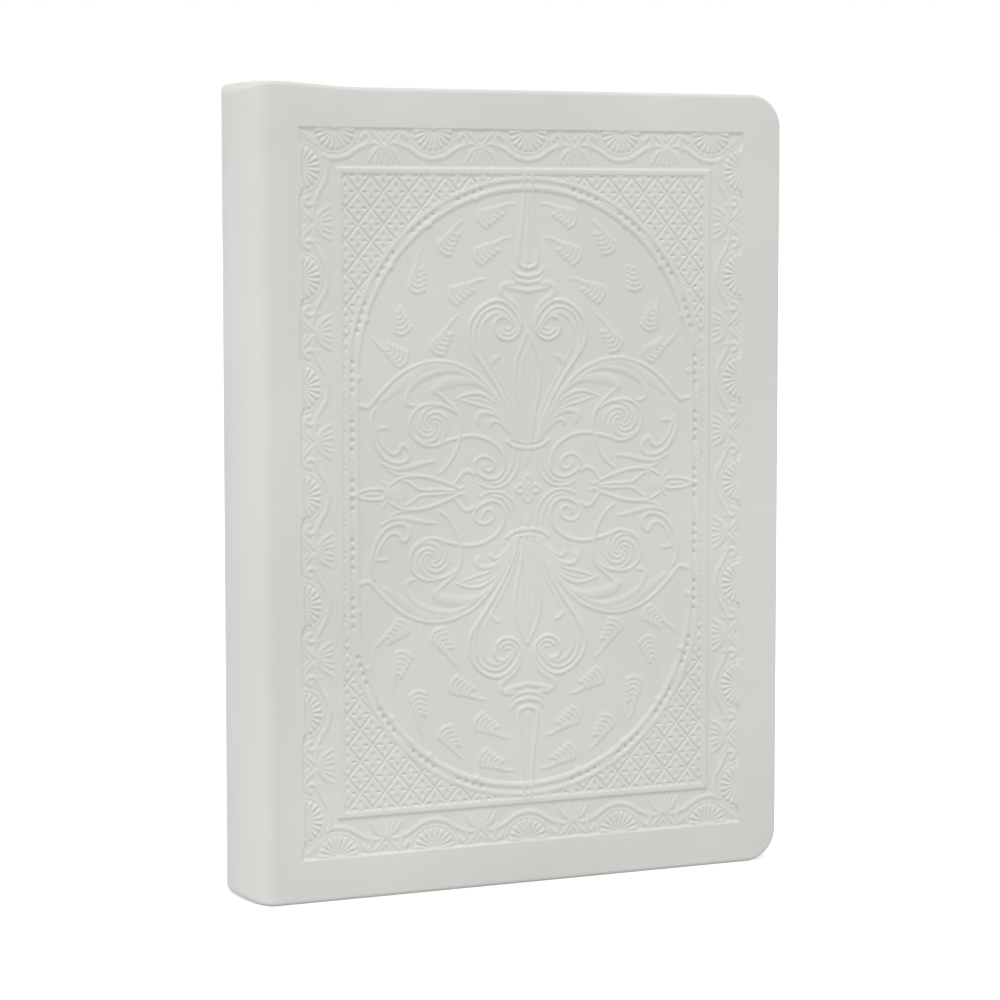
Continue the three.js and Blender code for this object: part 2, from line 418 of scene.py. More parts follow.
def leaf_pile_tree() -> GeometryTree:
    """A pile of one section's leaves, each a little out of line with the next.

    Returns:
        The group.
    """
    tree = GeometryTree("leaf_pile")
    for name in ("Pitch", "First", "Round", "Half", "Wander"):
        tree.add_input(name, "Float")
    tree.add_input("Leaves", "Int")
    tree.add_input("Seed", "Int")
    given = tree.inputs.outputs
    start = tree.node("ShaderNodeCombineXYZ")
    step = tree.node("ShaderNodeCombineXYZ")
    tree.link(given["First"], start.inputs["Y"])
    tree.link(given["Pitch"], step.inputs["Y"])
    line = tree.node("MeshLine", mode="OFFSET")
    tree.link(given["Leaves"], line.inputs["Count"])
    tree.link(start.outputs[0], line.inputs["Start Location"])
    tree.link(step.outputs[0], line.inputs["Offset"])
    split = tree.node("ShaderNodeSeparateXYZ")
    tree.link(tree.node("InputPosition").outputs[0], split.inputs[0])
    share = tree.math("DIVIDE", split.outputs["Y"], given["Half"])
    inner = tree.math("SUBTRACT", 1.0, tree.math("MULTIPLY", share, share))
    bulge = tree.math("SQRT", tree.math("MAXIMUM", inner, 0.0))
    shift = tree.math("MULTIPLY", tree.math("MULTIPLY", bulge, given["Round"]), -1.0)
    wander = tree.node("FunctionNodeRandomValue", data_type="FLOAT_VECTOR")
    tree.link(given["Seed"], wander.inputs["Seed"])
    for socket in (s for s in wander.inputs if s.type == "VECTOR"):
        socket.default_value = (-1, 0, -1) if socket.name == "Min" else (1, 0, 1)
    scaled = tree.node("ShaderNodeVectorMath", operation="SCALE")
    tree.link(wander.outputs[0], scaled.inputs[0])
    tree.link(given["Wander"], scaled.inputs["Scale"])
    along = tree.node("ShaderNodeCombineXYZ")
    tree.link(shift, along.inputs["X"])
    total = tree.node("ShaderNodeVectorMath", operation="ADD")
    tree.link(along.outputs[0], total.inputs[0])
    tree.link(scaled.outputs[0], total.inputs[1])
    move = tree.node("SetPosition")
    tree.link(line.outputs["Mesh"], move.inputs["Geometry"])
    tree.link(total.outputs[0], move.inputs["Offset"])
    place = tree.node("InstanceOnPoints")
    tree.link(move.outputs["Geometry"], place.inputs["Points"])
    tree.link(given["Geometry"], place.inputs["Instance"])
    tree.close(place.outputs["Instances"])
    return tree


def wrapped_core_tree() -> GeometryTree:
    """A cord core wound with thread, along the line it is given.

    Returns:
        The group.
    """
    tree = GeometryTree("wrapped_core")
    for name in ("Core", "Thread", "Pitch"):
        tree.add_input(name, "Float")
    given = tree.inputs.outputs
    curve = tree.node("MeshToCurve")
    tree.link(given["Geometry"], curve.inputs["Mesh"])
    core_ring = tree.node("CurvePrimitiveCircle")
    core_ring.inputs["Resolution"].default_value = 14
    tree.link(given["Core"], core_ring.inputs["Radius"])
    core = tree.node("CurveToMesh")
    core.inputs["Fill Caps"].default_value = True
    tree.link(curve.outputs["Curve"], core.inputs["Curve"])
    tree.link(core_ring.outputs["Curve"], core.inputs["Profile Curve"])
    winding = tree.node("CurvePrimitiveCircle")
    winding.inputs["Resolution"].default_value = 14
    tree.link(given["Core"], winding.inputs["Radius"])
    thread_ring = tree.node("CurvePrimitiveCircle")
    thread_ring.inputs["Resolution"].default_value = 5
    tree.link(given["Thread"], thread_ring.inputs["Radius"])
    turn = tree.node("CurveToMesh")
    tree.link(winding.outputs["Curve"], turn.inputs["Curve"])
    tree.link(thread_ring.outputs["Curve"], turn.inputs["Profile Curve"])
    spots = tree.node("CurveToPoints", mode="LENGTH")
    tree.link(curve.outputs["Curve"], spots.inputs["Curve"])
    tree.link(given["Pitch"], spots.inputs["Length"])
    place = tree.node("InstanceOnPoints")
    tree.link(spots.outputs["Points"], place.inputs["Points"])
    tree.link(turn.outputs["Mesh"], place.inputs["Instance"])
    tree.link(spots.outputs["Rotation"], place.inputs["Rotation"])
    both = tree.node("JoinGeometry")
    tree.link(core.outputs["Mesh"], both.inputs[0])
    tree.link(place.outputs["Instances"], both.inputs[0])
    soft = tree.node("SetShadeSmooth")
    real = tree.node("RealizeInstances")
    tree.link(both.outputs[0], real.inputs[0])
    tree.link(real.outputs[0], soft.inputs[0])
    tree.close(soft.outputs[0])
    return tree


# ---------------------------------------------------------------- shader groups


class ShaderTree(NodeTree):
    """Short ways to add and link nodes in a shader tree."""

    def __init__(self, tree: bpy.types.NodeTree) -> None:
        """Works on a tree.

        Args:
            tree: A material's tree or a node group.
        """
        self.tree = tree

    def node(self, kind: str, **values: object) -> bpy.types.Node:
        """Adds a node.

        Args:
            kind: Its type without the ShaderNode prefix.
            values: Properties, or default values of the inputs of that name.

        Returns:
            The node.
        """
        made = self.tree.nodes.new(f"ShaderNode{kind}")
        for key, value in values.items():
            if hasattr(made, key):
                setattr(made, key, value)
            else:
                made.inputs[key.replace("_", " ")].default_value = value
        return made

    def blend_colours(
        self, share: bpy.types.NodeSocket, first: object, second: object
    ) -> bpy.types.NodeSocket:
        """Mixes two colours.

        Args:
            share: How much of the second.
            first: A colour or a socket.
            second: A colour or a socket.

        Returns:
            The mixed colour.
        """
        made = self.node("Mix", data_type="RGBA")
        self.link(share, made.inputs[0])
        self.feed(made.inputs[6], first)
        self.feed(made.inputs[7], second)
        return made.outputs[2]


def group_sockets(
    tree: bpy.types.NodeTree, inputs: dict[str, tuple[str, object]], outputs: dict[str, str]
) -> tuple[bpy.types.Node, bpy.types.Node]:
    """Gives a group its named sockets.

    Args:
        tree: The group.
        inputs: Socket kind and default value, by name.
        outputs: Socket kind, by name.

    Returns:
        The group's input node and output node.
    """
    for name, (kind, value) in inputs.items():
        socket = tree.interface.new_socket(
            name, in_out="INPUT", socket_type=f"NodeSocket{kind}"
        )
        socket.default_value = value
    for name, kind in outputs.items():
        tree.interface.new_socket(name, in_out="OUTPUT", socket_type=f"NodeSocket{kind}")
    return tree.nodes.new("NodeGroupInput"), tree.nodes.new("NodeGroupOutput")


def hide_grain_group() -> bpy.types.NodeTree:
    """Fine leather grain: small soft cells between shallow creases.

    Returns:
        The group, which puts out Height.
    """
    tree = bpy.data.node_groups.new("hide_grain", "ShaderNodeTree")
    start, end = group_sockets(
        tree,
        {"Vector": ("Vector", (0, 0, 0)), "Cells": ("Float", 1500.0), "Warp": ("Float", 0.0004)},
        {"Height": "Float"},
    )
    shader = ShaderTree(tree)
    bend = shader.node("TexNoise", noise_dimensions="3D", Scale=420.0, Detail=2.0)
    shader.link(start.outputs["Vector"], bend.inputs["Vector"])
    centred = shader.node("VectorMath", operation="SUBTRACT")
    centred.inputs[1].default_value = (0.5, 0.5, 0.5)
    shader.link(bend.outputs["Color"], centred.inputs[0])
    scaled = shader.node("VectorMath", operation="SCALE")
    shader.link(centred.outputs[0], scaled.inputs[0])
    shader.link(start.outputs["Warp"], scaled.inputs["Scale"])
    moved = shader.node("VectorMath", operation="ADD")
    shader.link(start.outputs["Vector"], moved.inputs[0])
    shader.link(scaled.outputs[0], moved.inputs[1])
    cells = shader.node("TexVoronoi", feature="DISTANCE_TO_EDGE", Randomness=1.0)
    shader.link(moved.outputs[0], cells.inputs["Vector"])
    shader.link(start.outputs["Cells"], cells.inputs["Scale"])
    crown = shader.math("MINIMUM", shader.math("MULTIPLY", cells.outputs["Distance"], 5.0), 1.0)
    fine = shader.node("TexNoise", noise_dimensions="3D", Scale=5200.0, Detail=3.0)
    shader.link(start.outputs["Vector"], fine.inputs["Vector"])
    height = shader.math("ADD", crown, shader.math("MULTIPLY", fine.outputs["Fac"], 0.6))
    shader.link(height, end.inputs["Height"])
    return tree


def tint_and_shade_group() -> bpy.types.NodeTree:
    """Slow colour drift, faint handling marks, and painted shade in pressed hollows.

    Returns:
        The group, which puts out Color and Rough.
    """
    tree = bpy.data.node_groups.new("tint_and_shade", "ShaderNodeTree")
    start, end = group_sockets(
        tree,
        {
            "Vector": ("Vector", (0, 0, 0)),
            "Base": ("Color", (0.8, 0.8, 0.78, 1)),
            "Warm": ("Color", (0.7, 0.68, 0.6, 1)),
            "Hollow": ("Float", 0.0),
            "Drift": ("Float", 0.3),
            "Rough Low": ("Float", 0.4),
            "Rough High": ("Float", 0.6),
        },
        {"Color": "Color", "Rough": "Float"},
    )
    shader = ShaderTree(tree)
    slow = shader.node("TexNoise", noise_dimensions="3D", Scale=17.0, Detail=4.0)
    marks = shader.node("TexNoise", noise_dimensions="3D", Scale=160.0, Detail=6.0)
    for made in (slow, marks):
        shader.link(start.outputs["Vector"], made.inputs["Vector"])
    spread = shader.node("MapRange", From_Min=0.35, From_Max=0.7)
    shader.link(slow.outputs["Fac"], spread.inputs["Value"])
    amount = shader.math("MULTIPLY", spread.outputs[0], start.outputs["Drift"])
    tinted = shader.blend_colours(amount, start.outputs["Base"], start.outputs["Warm"])
    # Painted shade: the colour is pulled towards the darker tone colour by the shade input, standing
    # in for shadow inside deep grooves.
    shade = shader.math("MULTIPLY", start.outputs["Hollow"], 0.9)
    shaded = shader.blend_colours(shade, tinted, start.outputs["Warm"])
    shader.link(shaded, end.inputs["Color"])
    rough = shader.node("MapRange", From_Min=0.3, From_Max=0.7)
    shader.link(marks.outputs["Fac"], rough.inputs["Value"])
    shader.link(start.outputs["Rough Low"], rough.inputs["To Min"])
    shader.link(start.outputs["Rough High"], rough.inputs["To Max"])
    shader.link(rough.outputs[0], end.inputs["Rough"])
    return tree


def fibre_group() -> bpy.types.NodeTree:
    """Felted fibres of paper, board or thread, drawn out along one direction.

    Returns:
        The group, which puts out Height and Tint.
    """
    tree = bpy.data.node_groups.new("fibre", "ShaderNodeTree")
    start, end = group_sockets(
        tree,
        {"Vector": ("Vector", (0, 0, 0)), "Stretch": ("Vector", (1, 1, 1))},
        {"Height": "Float", "Tint": "Float"},
    )
    shader = ShaderTree(tree)
    drawn = shader.node("VectorMath", operation="MULTIPLY")
    shader.link(start.outputs["Vector"], drawn.inputs[0])
    shader.link(start.outputs["Stretch"], drawn.inputs[1])
    strands = shader.node("TexNoise", noise_dimensions="3D", Scale=900.0, Detail=5.0)
    clouds = shader.node("TexNoise", noise_dimensions="3D", Scale=60.0, Detail=3.0)
    shader.link(drawn.outputs[0], strands.inputs["Vector"])
    shader.link(start.outputs["Vector"], clouds.inputs["Vector"])
    shader.link(strands.outputs["Fac"], end.inputs["Height"])
    both = shader.math("ADD", strands.outputs["Fac"], clouds.outputs["Fac"])
    shader.link(shader.math("MULTIPLY", both, 0.5), end.inputs["Tint"])
    return tree


# ---------------------------------------------------------------- finishes


@dataclass(frozen=True)
class LeatherFinish:
    """Smooth white calf: satin, finely grained, with painted shade greying its deepest pressed
    grooves.
    """

    name: str = "white_leather"
    base: Colour = (0.80, 0.81, 0.775, 1.0)
    # Darker colour for the slow tone drift, and also the target of the painted shade in deep
    # grooves.
    warm: Colour = (0.62, 0.625, 0.575, 1.0)
    cells: float = 1500.0
    grain: float = 0.12
    rough: Point = (0.42, 0.58)
    # Painted shade starts below this relief depth and grows at this rate.
    hollow_from: float = 0.53
    hollow_gain: float = 7.0

    def build(self, grain: bpy.types.NodeTree, tint_and_shade: bpy.types.NodeTree) -> bpy.types.Material:
        """Makes the material.

        Args:
            grain: The hide_grain group.
            tint_and_shade: The group for colour drift and painted shade in hollows.

        Returns:
            The material.
        """
        material, shader, surface = new_material(self.name)
        surface.inputs["Specular IOR Level"].default_value = 0.42
        surface.inputs["Sheen Weight"].default_value = 0.06
        place = shader.node("TexCoord")
        # Painted shade: where the relief sinks below the set depth the colour darkens, standing in
        # for shadow inside the grooves.
        depth = shader.node("Attribute", attribute_name="relief")
        below = shader.math("SUBTRACT", -self.hollow_from, depth.outputs["Fac"])
        painted_shade = shader.math("MINIMUM", shader.math("MULTIPLY", below, self.hollow_gain), 1.0)
        colour = shader.node("Group", node_tree=tint_and_shade)
        skin = shader.node("Group", node_tree=grain)
        for made in (colour, skin):
            shader.link(place.outputs["Object"], made.inputs["Vector"])
        colour.inputs["Base"].default_value = self.base
        colour.inputs["Warm"].default_value = self.warm
        colour.inputs["Rough Low"].default_value = self.rough[0]
        colour.inputs["Rough High"].default_value = self.rough[1]
        shader.link(shader.math("MAXIMUM", painted_shade, 0.0), colour.inputs["Hollow"])
        skin.inputs["Cells"].default_value = self.cells
        shader.link(colour.outputs["Color"], surface.inputs["Base Color"])
        shader.link(colour.outputs["Rough"], surface.inputs["Roughness"])
        add_bump(shader, surface, skin.outputs["Height"], self.grain, 0.00012)
        return material


@dataclass(frozen=True)
class FibreFinish:
    """Paper, board, cloth or thread: matt, with its own fibre direction."""

    name: str
    light: Colour
    dark: Colour
    stretch: tuple[float, float, float]
    roughness: float
    bump: float
    sheen: float = 0.0

    def build(self, fibre: bpy.types.NodeTree) -> bpy.types.Material:
        """Makes the material.

        Args:
            fibre: The fibre group.

        Returns:
            The material.
        """
        material, shader, surface = new_material(self.name)
        surface.inputs["Roughness"].default_value = self.roughness
        surface.inputs["Specular IOR Level"].default_value = 0.3
        surface.inputs["Sheen Weight"].default_value = self.sheen
        place = shader.node("TexCoord")
        strands = shader.node("Group", node_tree=fibre)
        strands.inputs["Stretch"].default_value = self.stretch
        shader.link(place.outputs["Object"], strands.inputs["Vector"])
        spread = shader.node("MapRange", From_Min=0.35, From_Max=0.65)
        shader.link(strands.outputs["Tint"], spread.inputs["Value"])
        tint = shader.blend_colours(spread.outputs[0], self.light, self.dark)
        shader.link(tint, surface.inputs["Base Color"])
        add_bump(shader, surface, strands.outputs["Height"], self.bump, 0.0001)
        return material


def new_material(name: str) -> tuple[bpy.types.Material, ShaderTree, bpy.types.Node]:
    """Starts a material.

    Args:
        name: Its name.

    Returns:
        The material, its tree, and its Principled BSDF.
    """
    material = bpy.data.materials.new(name)
    material.use_nodes = True
    shader = ShaderTree(material.node_tree)
    return material, shader, material.node_tree.nodes["Principled BSDF"]


def add_bump(
    shader: ShaderTree,
    surface: bpy.types.Node,
    height: bpy.types.NodeSocket,
    strength: float,
    distance: float,
) -> None:
    """Adds a bump from a height to a surface.

    Args:
        shader: The material's tree.
        surface: Its Principled BSDF.
        height: The height.
        strength: The bump's strength.
        distance: The bump's full height in metres.
    """
    bump = shader.node("Bump", Strength=strength, Distance=distance)
    shader.link(height, bump.inputs["Height"])
    shader.link(bump.outputs["Normal"], surface.inputs["Normal"])


@dataclass(frozen=True)
class Palette:
    """Every finish of the book, made once."""

    leather: bpy.types.Material
    endpaper: bpy.types.Material
    text_paper: bpy.types.Material
    board: bpy.types.Material
    cloth: bpy.types.Material
    silk: bpy.types.Material
    linen: bpy.types.Material

    @classmethod
    def make(cls) -> "Palette":
        """Builds the finishes and their shared groups.

        Returns:
            The palette.
        """
        grain, tint_and_shade, fibre = hide_grain_group(), tint_and_shade_group(), fibre_group()

        def plain(*values: object, **more: object) -> bpy.types.Material:
            """A fibre finish with these values."""
            return FibreFinish(*values, **more).build(fibre)

        return cls(
            leather=LeatherFinish().build(grain, tint_and_shade),
            endpaper=plain("endpaper", (0.86, 0.84, 0.78, 1), (0.80, 0.775, 0.70, 1),
                           (1, 1, 0.4), 0.8, 0.15),
            text_paper=plain("text_paper", (0.86, 0.83, 0.75, 1), (0.78, 0.74, 0.64, 1),
                             (1, 4, 0.5), 0.85, 0.2),
            board=plain("grey_board", (0.42, 0.40, 0.36, 1), (0.27, 0.25, 0.22, 1),
                        (1, 6, 1), 0.9, 0.4),
            cloth=plain("white_cloth", (0.78, 0.75, 0.67, 1), (0.6, 0.56, 0.47, 1),
                        (1, 1, 3), 0.95, 0.6),
            silk=plain("silk", (0.86, 0.84, 0.79, 1), (0.74, 0.71, 0.64, 1),
                       (4, 1, 4), 0.45, 0.2, sheen=0.3),
            linen=plain("linen_thread", (0.74, 0.68, 0.55, 1), (0.55, 0.48, 0.36, 1),
                        (5, 1, 5), 0.8, 0.4),
        )


def dress(piece: bpy.types.Object, material: bpy.types.Material, slot: str) -> None:
    """Gives a piece its material.

    Args:
        piece: The object.
        material: Its material.
        slot: Not used.
    """
    piece.data.materials.clear()
    piece.data.materials.append(material)


# ---------------------------------------------------------------- the pressed ornament

PANEL_WIDTH = 129.5
PANEL_HEIGHT = 189.0
PANEL_INSET = 7.2  # from the spine corner
PANEL_HEAD = 10.0  # from the head edge
RASTER = 0.125

GROUND = -0.52  # the sunk field
DIAPER_GROUND = -0.20
CHANNEL = -0.36  # between the oval's two ridges
FRAME_BAR = 11.2  # middle of the straight frame, from the panel's edge
OVAL_CENTRE = 64.3  # centre of the oval's round end, from the panel's head
OVAL_OUTER = 51.3
OVAL_INNER = 48.9
RING_HALF, RING_RISE = 1.05, 0.44
BEAD_HALF, BEAD_DEPTH = 0.80, 0.33
BEAD_FIRST = 13.5  # along the oval, from the head's centre
BEAD_GROUP = 15.3  # from one group of four beads to the next
BEAD_STEP = 2.4
BEAD_BAR = 9.4  # from a group's first bead to its bar
SHELL_PITCH_LONG = 28.0
SHELL_PITCH_SHORT = 27.3
FIRST_LONG = 10.5  # first shell of each run, from the corner
FIRST_SHORT = 10.15
LOZENGE_WIDTH = 7.05
LOZENGE_HEIGHT = 8.3
LOZENGE_SPAN = 5.35  # between two grooves that run the same way
LATTICE_START = (16.5, 16.7)  # middle of one lozenge
GROOVE_DEPTH, GROOVE_HALF = 0.31, 0.42
PIT_DEPTH = 0.36
STRIKE = 0.64  # share of the ornament's full height that the leather takes
DEEPEST, PROUDEST = -0.85, 0.05
ORNAMENT_SOFTNESS = 0.20
GROUND_SOFTNESS = 0.10
SHELL_NOTCH = 0.5  # how far the panel's edge steps in round a shell


class Edge(Enum):
    """The border's two runs in one quarter of the panel."""

    LONG = "left"
    SHORT = "head"


class QuarterRelief:
    """Height raster of the panel's quarter at head and spine; the others mirror it."""

    def __init__(self) -> None:
        """Lays the empty raster."""
        self.u = np.arange(0, PANEL_WIDTH / 2 + RASTER / 2, RASTER)
        self.v = np.arange(0, PANEL_HEIGHT / 2 + RASTER / 2, RASTER)
        self.raised = np.zeros((len(self.v), len(self.u)))
        self.cut = np.zeros_like(self.raised)

    def _stamp(
        self, layer: np.ndarray, path: np.ndarray, widths: np.ndarray, heights: np.ndarray
    ) -> None:
        """Raises a layer to a round-topped ridge along a path.

        Args:
            layer: The raster that rises.
            path: (N, 2) points.
            widths: Half width at each point.
            heights: Height at each point.
        """
        for (pu, pv), half, height in zip(path, widths, heights):
            i0, i1 = (int(math.ceil((pu + s * half) / RASTER)) for s in (-1, 1))
            j0, j1 = (int(math.ceil((pv + s * half) / RASTER)) for s in (-1, 1))
            i0, j0 = max(i0, 0), max(j0, 0)
            if i1 <= i0 or j1 <= j0:
                continue
            across = ((self.u[i0:i1] - pu) / half) ** 2
            down = ((self.v[j0:j1] - pv) / half) ** 2
            window = layer[j0:j1, i0:i1]
            bump = height * (1 - across[None, :] - down[:, None])
            np.maximum(window, bump, out=window)

    def ridge(
        self, points: list[Point], half: tuple[float, ...], rise: tuple[float, ...] = (0.4,)
    ) -> None:
        """Raises a ridge along a smooth line.

        Args:
            points: Control points of the line.
            half: Half widths, spread evenly from start to end.
            rise: Heights, spread evenly from start to end.
        """
        path = smooth_line(points, RASTER)
        share = np.linspace(0, 1, len(path))
        widths = np.interp(share, np.linspace(0, 1, len(half)), half)
        heights = np.interp(share, np.linspace(0, 1, len(rise)), rise)
        self._stamp(self.raised, path, np.maximum(widths, 0.12), heights)

    def dot(self, centre: Point, half: float, height: float, sunk: bool = False) -> None:
        """Raises or sinks a round dot.

        Args:
            centre: Its middle.
            half: Its radius.
            height: Its height or depth.
            sunk: True to sink it.
        """
        layer = self.cut if sunk else self.raised
        self._stamp(layer, np.array([centre]), np.array([half]), np.array([height]))

    def grid(self) -> tuple[np.ndarray, np.ndarray]:
        """The raster's u and v positions, as two arrays of its shape."""
        return np.meshgrid(self.u, self.v)


@dataclass
class PressedPanel:
    """The whole ornament, pressed into one panel."""

    quarter: QuarterRelief = field(default_factory=QuarterRelief)

    def draw(self) -> np.ndarray:
        """Draws every motif and mirrors the quarter four ways.

        Returns:
            The panel's relief in millimetres, head first, spine side first.
        """
        self.border()
        self.ears()
        self.spear()
        self.heart_scroll()
        self.lily()
        self.acanthus()
        self.whirl()
        self.small_volute()
        self.outer_scroll()
        self.side_fleur()
        self.middle_flower()
        raised = self.soften(self.quarter.raised, ORNAMENT_SOFTNESS)
        base = self.soften(self.ground() - self.quarter.cut, GROUND_SOFTNESS)
        height = np.clip(base + STRIKE * raised, DEEPEST, PROUDEST)
        u, v = self.quarter.grid()
        height *= ease(np.minimum(u, v), 0.0, 0.35)
        upper = np.hstack([height, height[:, -2::-1]])
        return np.vstack([upper, upper[-2::-1]])

    def soften(self, height: np.ndarray, softness: float) -> np.ndarray:
        """Rounds the relief as thick leather does.

        Args:
            height: The raster.
            softness: How far it spreads.

        Returns:
            The softened raster.
        """
        reach = int(3 * softness / RASTER) + 1
        offsets = np.arange(-reach, reach + 1) * RASTER
        kernel = np.exp(-0.5 * (offsets / softness) ** 2)
        kernel /= kernel.sum()
        for axis in (0, 1):
            pads = [(reach, reach) if a == axis else (0, 0) for a in (0, 1)]
            wide = np.pad(height, pads, mode="reflect")
            height = np.apply_along_axis(np.convolve, axis, wide, kernel, "valid")
        return height

    def ground(self) -> np.ndarray:
        """Levels of the fields, the frame, the oval and the diaper.

        Returns:
            The raster of ground heights.
        """
        u, v = self.quarter.grid()

        half = SHELL_PITCH_LONG / 2
        off = np.abs((v - FIRST_LONG + half) % SHELL_PITCH_LONG - half)
        notched = np.minimum(u - SHELL_NOTCH * ease(-off, -7.4, -6.0), v)
        radius = np.where(
            v < OVAL_CENTRE,
            np.hypot(u - PANEL_WIDTH / 2, v - OVAL_CENTRE),
            np.abs(u - PANEL_WIDTH / 2),
        )
        ground = GROUND * ease(notched, 0.0, 0.9)
        edge = np.minimum(u, v)
        inside = ease(edge, FRAME_BAR, FRAME_BAR + 0.9)
        ground = ground * (1 - inside) + DIAPER_GROUND * inside
        channel = ease(-radius, -OVAL_OUTER - 0.6, -OVAL_OUTER) * (edge > FRAME_BAR)
        ground = ground * (1 - channel) + CHANNEL * channel
        medallion = ease(-radius, -OVAL_INNER, 0.6 - OVAL_INNER) * (edge > FRAME_BAR)
        ground = ground * (1 - medallion) + GROUND * medallion
        ground += self.diaper(u, v) * (radius > OVAL_OUTER + 0.6) * (edge > FRAME_BAR + 1)
        bar = 1 - ease(np.abs(edge - FRAME_BAR), 0.50, 1.20)
        ground = np.maximum(ground, GROUND + bar * (-0.03 - GROUND))
        for ring in (OVAL_OUTER, OVAL_INNER):
            ridge = np.clip(1 - ((radius - ring) / RING_HALF) ** 2, 0, None)
            ground = np.where(
                edge > FRAME_BAR, np.maximum(ground, GROUND + RING_RISE * ridge), ground
            )
        return ground

    def diaper(self, u: np.ndarray, v: np.ndarray) -> np.ndarray:
        """The lattice of lozenges, each with four long pits round its middle.

        Args:
            u: Raster positions from the spine side.
            v: Raster positions from the head.

        Returns:
            Heights to add to the ground.
        """
        a = (u - LATTICE_START[0]) / LOZENGE_WIDTH
        b = (v - LATTICE_START[1]) / LOZENGE_HEIGHT
        rising = a + b - np.floor(a + b) - 0.5
        falling = a - b - np.floor(a - b) - 0.5
        across = np.abs(rising + falling) / 2 * LOZENGE_WIDTH
        down = np.abs(rising - falling) / 2 * LOZENGE_HEIGHT
        lines = (0.5 - np.maximum(np.abs(rising), np.abs(falling))) * LOZENGE_SPAN

        def dip(amount: np.ndarray) -> np.ndarray:
            """A smooth round bottom where the amount is under 1."""
            return np.clip(1 - amount, 0, None)

        grooves = GROOVE_DEPTH * dip((lines / GROOVE_HALF) ** 2)
        level_pits = PIT_DEPTH * dip(((across - 1.72) / 1.0) ** 2 + (down / 0.42) ** 2)
        upright_pits = PIT_DEPTH * dip((across / 0.45) ** 2 + ((down - 1.57) / 0.85) ** 2)
        return -np.maximum(grooves, np.maximum(level_pits, upright_pits))

    def border(self) -> None:
        """Shells in their brackets, with leaf sprays between them, and the oval's beads."""
        for index in range(4):
            self.shell(Edge.LONG, FIRST_LONG + index * SHELL_PITCH_LONG, index == 0)
            self.spray(Edge.LONG, FIRST_LONG + (index + 0.5) * SHELL_PITCH_LONG)
        for index in range(3):
            self.shell(Edge.SHORT, FIRST_SHORT + index * SHELL_PITCH_SHORT, index == 0)
            self.spray(Edge.SHORT, FIRST_SHORT + (index + 0.5) * SHELL_PITCH_SHORT)
        self.quarter.ridge([(1.6, 1.6), (4.8, 4.8)], (0.5, 0.9, 0.4), (0.3,))
        self.oval_beads()

    def on_edge(self, edge: Edge, centre: float, points: list[Point]) -> list[Point]:
        """Places points given along and in from the border's edge.

        Args:
            edge: Which run of the border.
            centre: Where along it.
            points: (along, in) pairs.

        Returns:
            (u, v) pairs.
        """
        if edge is Edge.LONG:
            return [(q, centre + p) for p, q in points]
        return [(centre + p, q) for p, q in points]

    def shell(self, edge: Edge, centre: float, first: bool = False) -> None:
        """One fluted shell, opening from the panel's edge, in its scrolled bracket.

        Args:
            edge: Which run of the border.
            centre: Where along it.
            first: True for a corner's shell, whose bracket meets its neighbour's.
        """
        ridge = self.quarter.ridge
        for angle in np.radians(np.linspace(6, 174, 10)):
            ray = [
                (math.cos(angle) * r, 0.6 + math.sin(angle) * r * 0.95) for r in (1.0, 3.1, 5.1)
            ]
            ridge(self.on_edge(edge, centre, ray), (0.16, 0.40, 0.68), (0.45, 0.7, 0.72))
        ridge(self.on_edge(edge, centre, [(-0.4, 0.7), (0.4, 0.7)]), (0.7,), (0.4,))
        rim = [(math.cos(a) * 6.4, 0.6 + math.sin(a) * 6.0) for a in np.radians(range(8, 173, 12))]
        ridge(self.on_edge(edge, centre, rim), (0.35,), (0.28,))
        for s in (-1, 1):
            bracket = [
                (s * 7.4, 2.8), (s * 8.2, 1.7), (s * 9.4, 2.4), (s * 9.2, 4.2),
                (s * 7.2, 5.2), (s * 5.4, 6.2), (s * 3.2, 7.5), (0, 8.2),
            ]
            if first and s < 0:
                bracket = [(-3.0, 7.3), (-1.6, 8.0), (0, 8.2)]
            ridge(self.on_edge(edge, centre, bracket), (0.7, 0.6, 0.8, 0.85), (0.48,))

    def spray(self, edge: Edge, centre: float) -> None:
        """A palmette on the frame's side and crossed leaves above it, between two shells.

        Args:
            edge: Which run of the border.
            centre: Where along it.
        """
        def leaf(points: list[Point], half: tuple[float, ...], rise: float = 0.42) -> None:
            """One leaf of the spray."""
            self.quarter.ridge(self.on_edge(edge, centre, points), half, (rise,))

        for s in (-1, 1):
            leaf([(0, 5.4), (s * 1.6, 5.5), (s * 3.0, 6.6), (s * 4.4, 8.9)], (0.5, 0.75, 0.3))
            leaf([(s * 0.4, 6.0), (s * 1.6, 6.8), (s * 2.5, 9.0)], (0.35, 0.5, 0.3))
            leaf([(s * 0.2, 6.2), (s * 0.7, 7.4), (s * 1.0, 9.1)], (0.3, 0.45, 0.3))
            leaf([(s * 0.2, 4.8), (s * 1.5, 3.2), (s * 3.2, 1.5), (s * 5.0, 1.0)],
                 (0.45, 0.75, 0.3))
            leaf([(s * 0.8, 4.9), (s * 2.6, 4.1), (s * 4.2, 4.6), (s * 4.8, 5.6)], (0.4, 0.6, 0.3))
            leaf([(s * 0.2, 2.9), (s * 1.2, 1.7), (s * 2.2, 0.9)], (0.4, 0.5, 0.3), 0.35)
        self.quarter.dot(self.on_edge(edge, centre, [(0, 5.0)])[0], 0.85, 0.5)

    def oval_beads(self) -> None:
        """Groups of pits and short bars between the oval's ridges, and small knobs inside."""
        middle = (OVAL_OUTER + OVAL_INNER) / 2
        quarter_arc = middle * math.pi / 2

        def place(run: float, radius: float = middle) -> Point:
            """A point at a distance along the oval from the head's centre."""
            if run > quarter_arc:
                return (PANEL_WIDTH / 2 - radius, OVAL_CENTRE + run - quarter_arc)
            turn = run / middle
            return (
                PANEL_WIDTH / 2 - radius * math.sin(turn),
                OVAL_CENTRE - radius * math.cos(turn),
            )

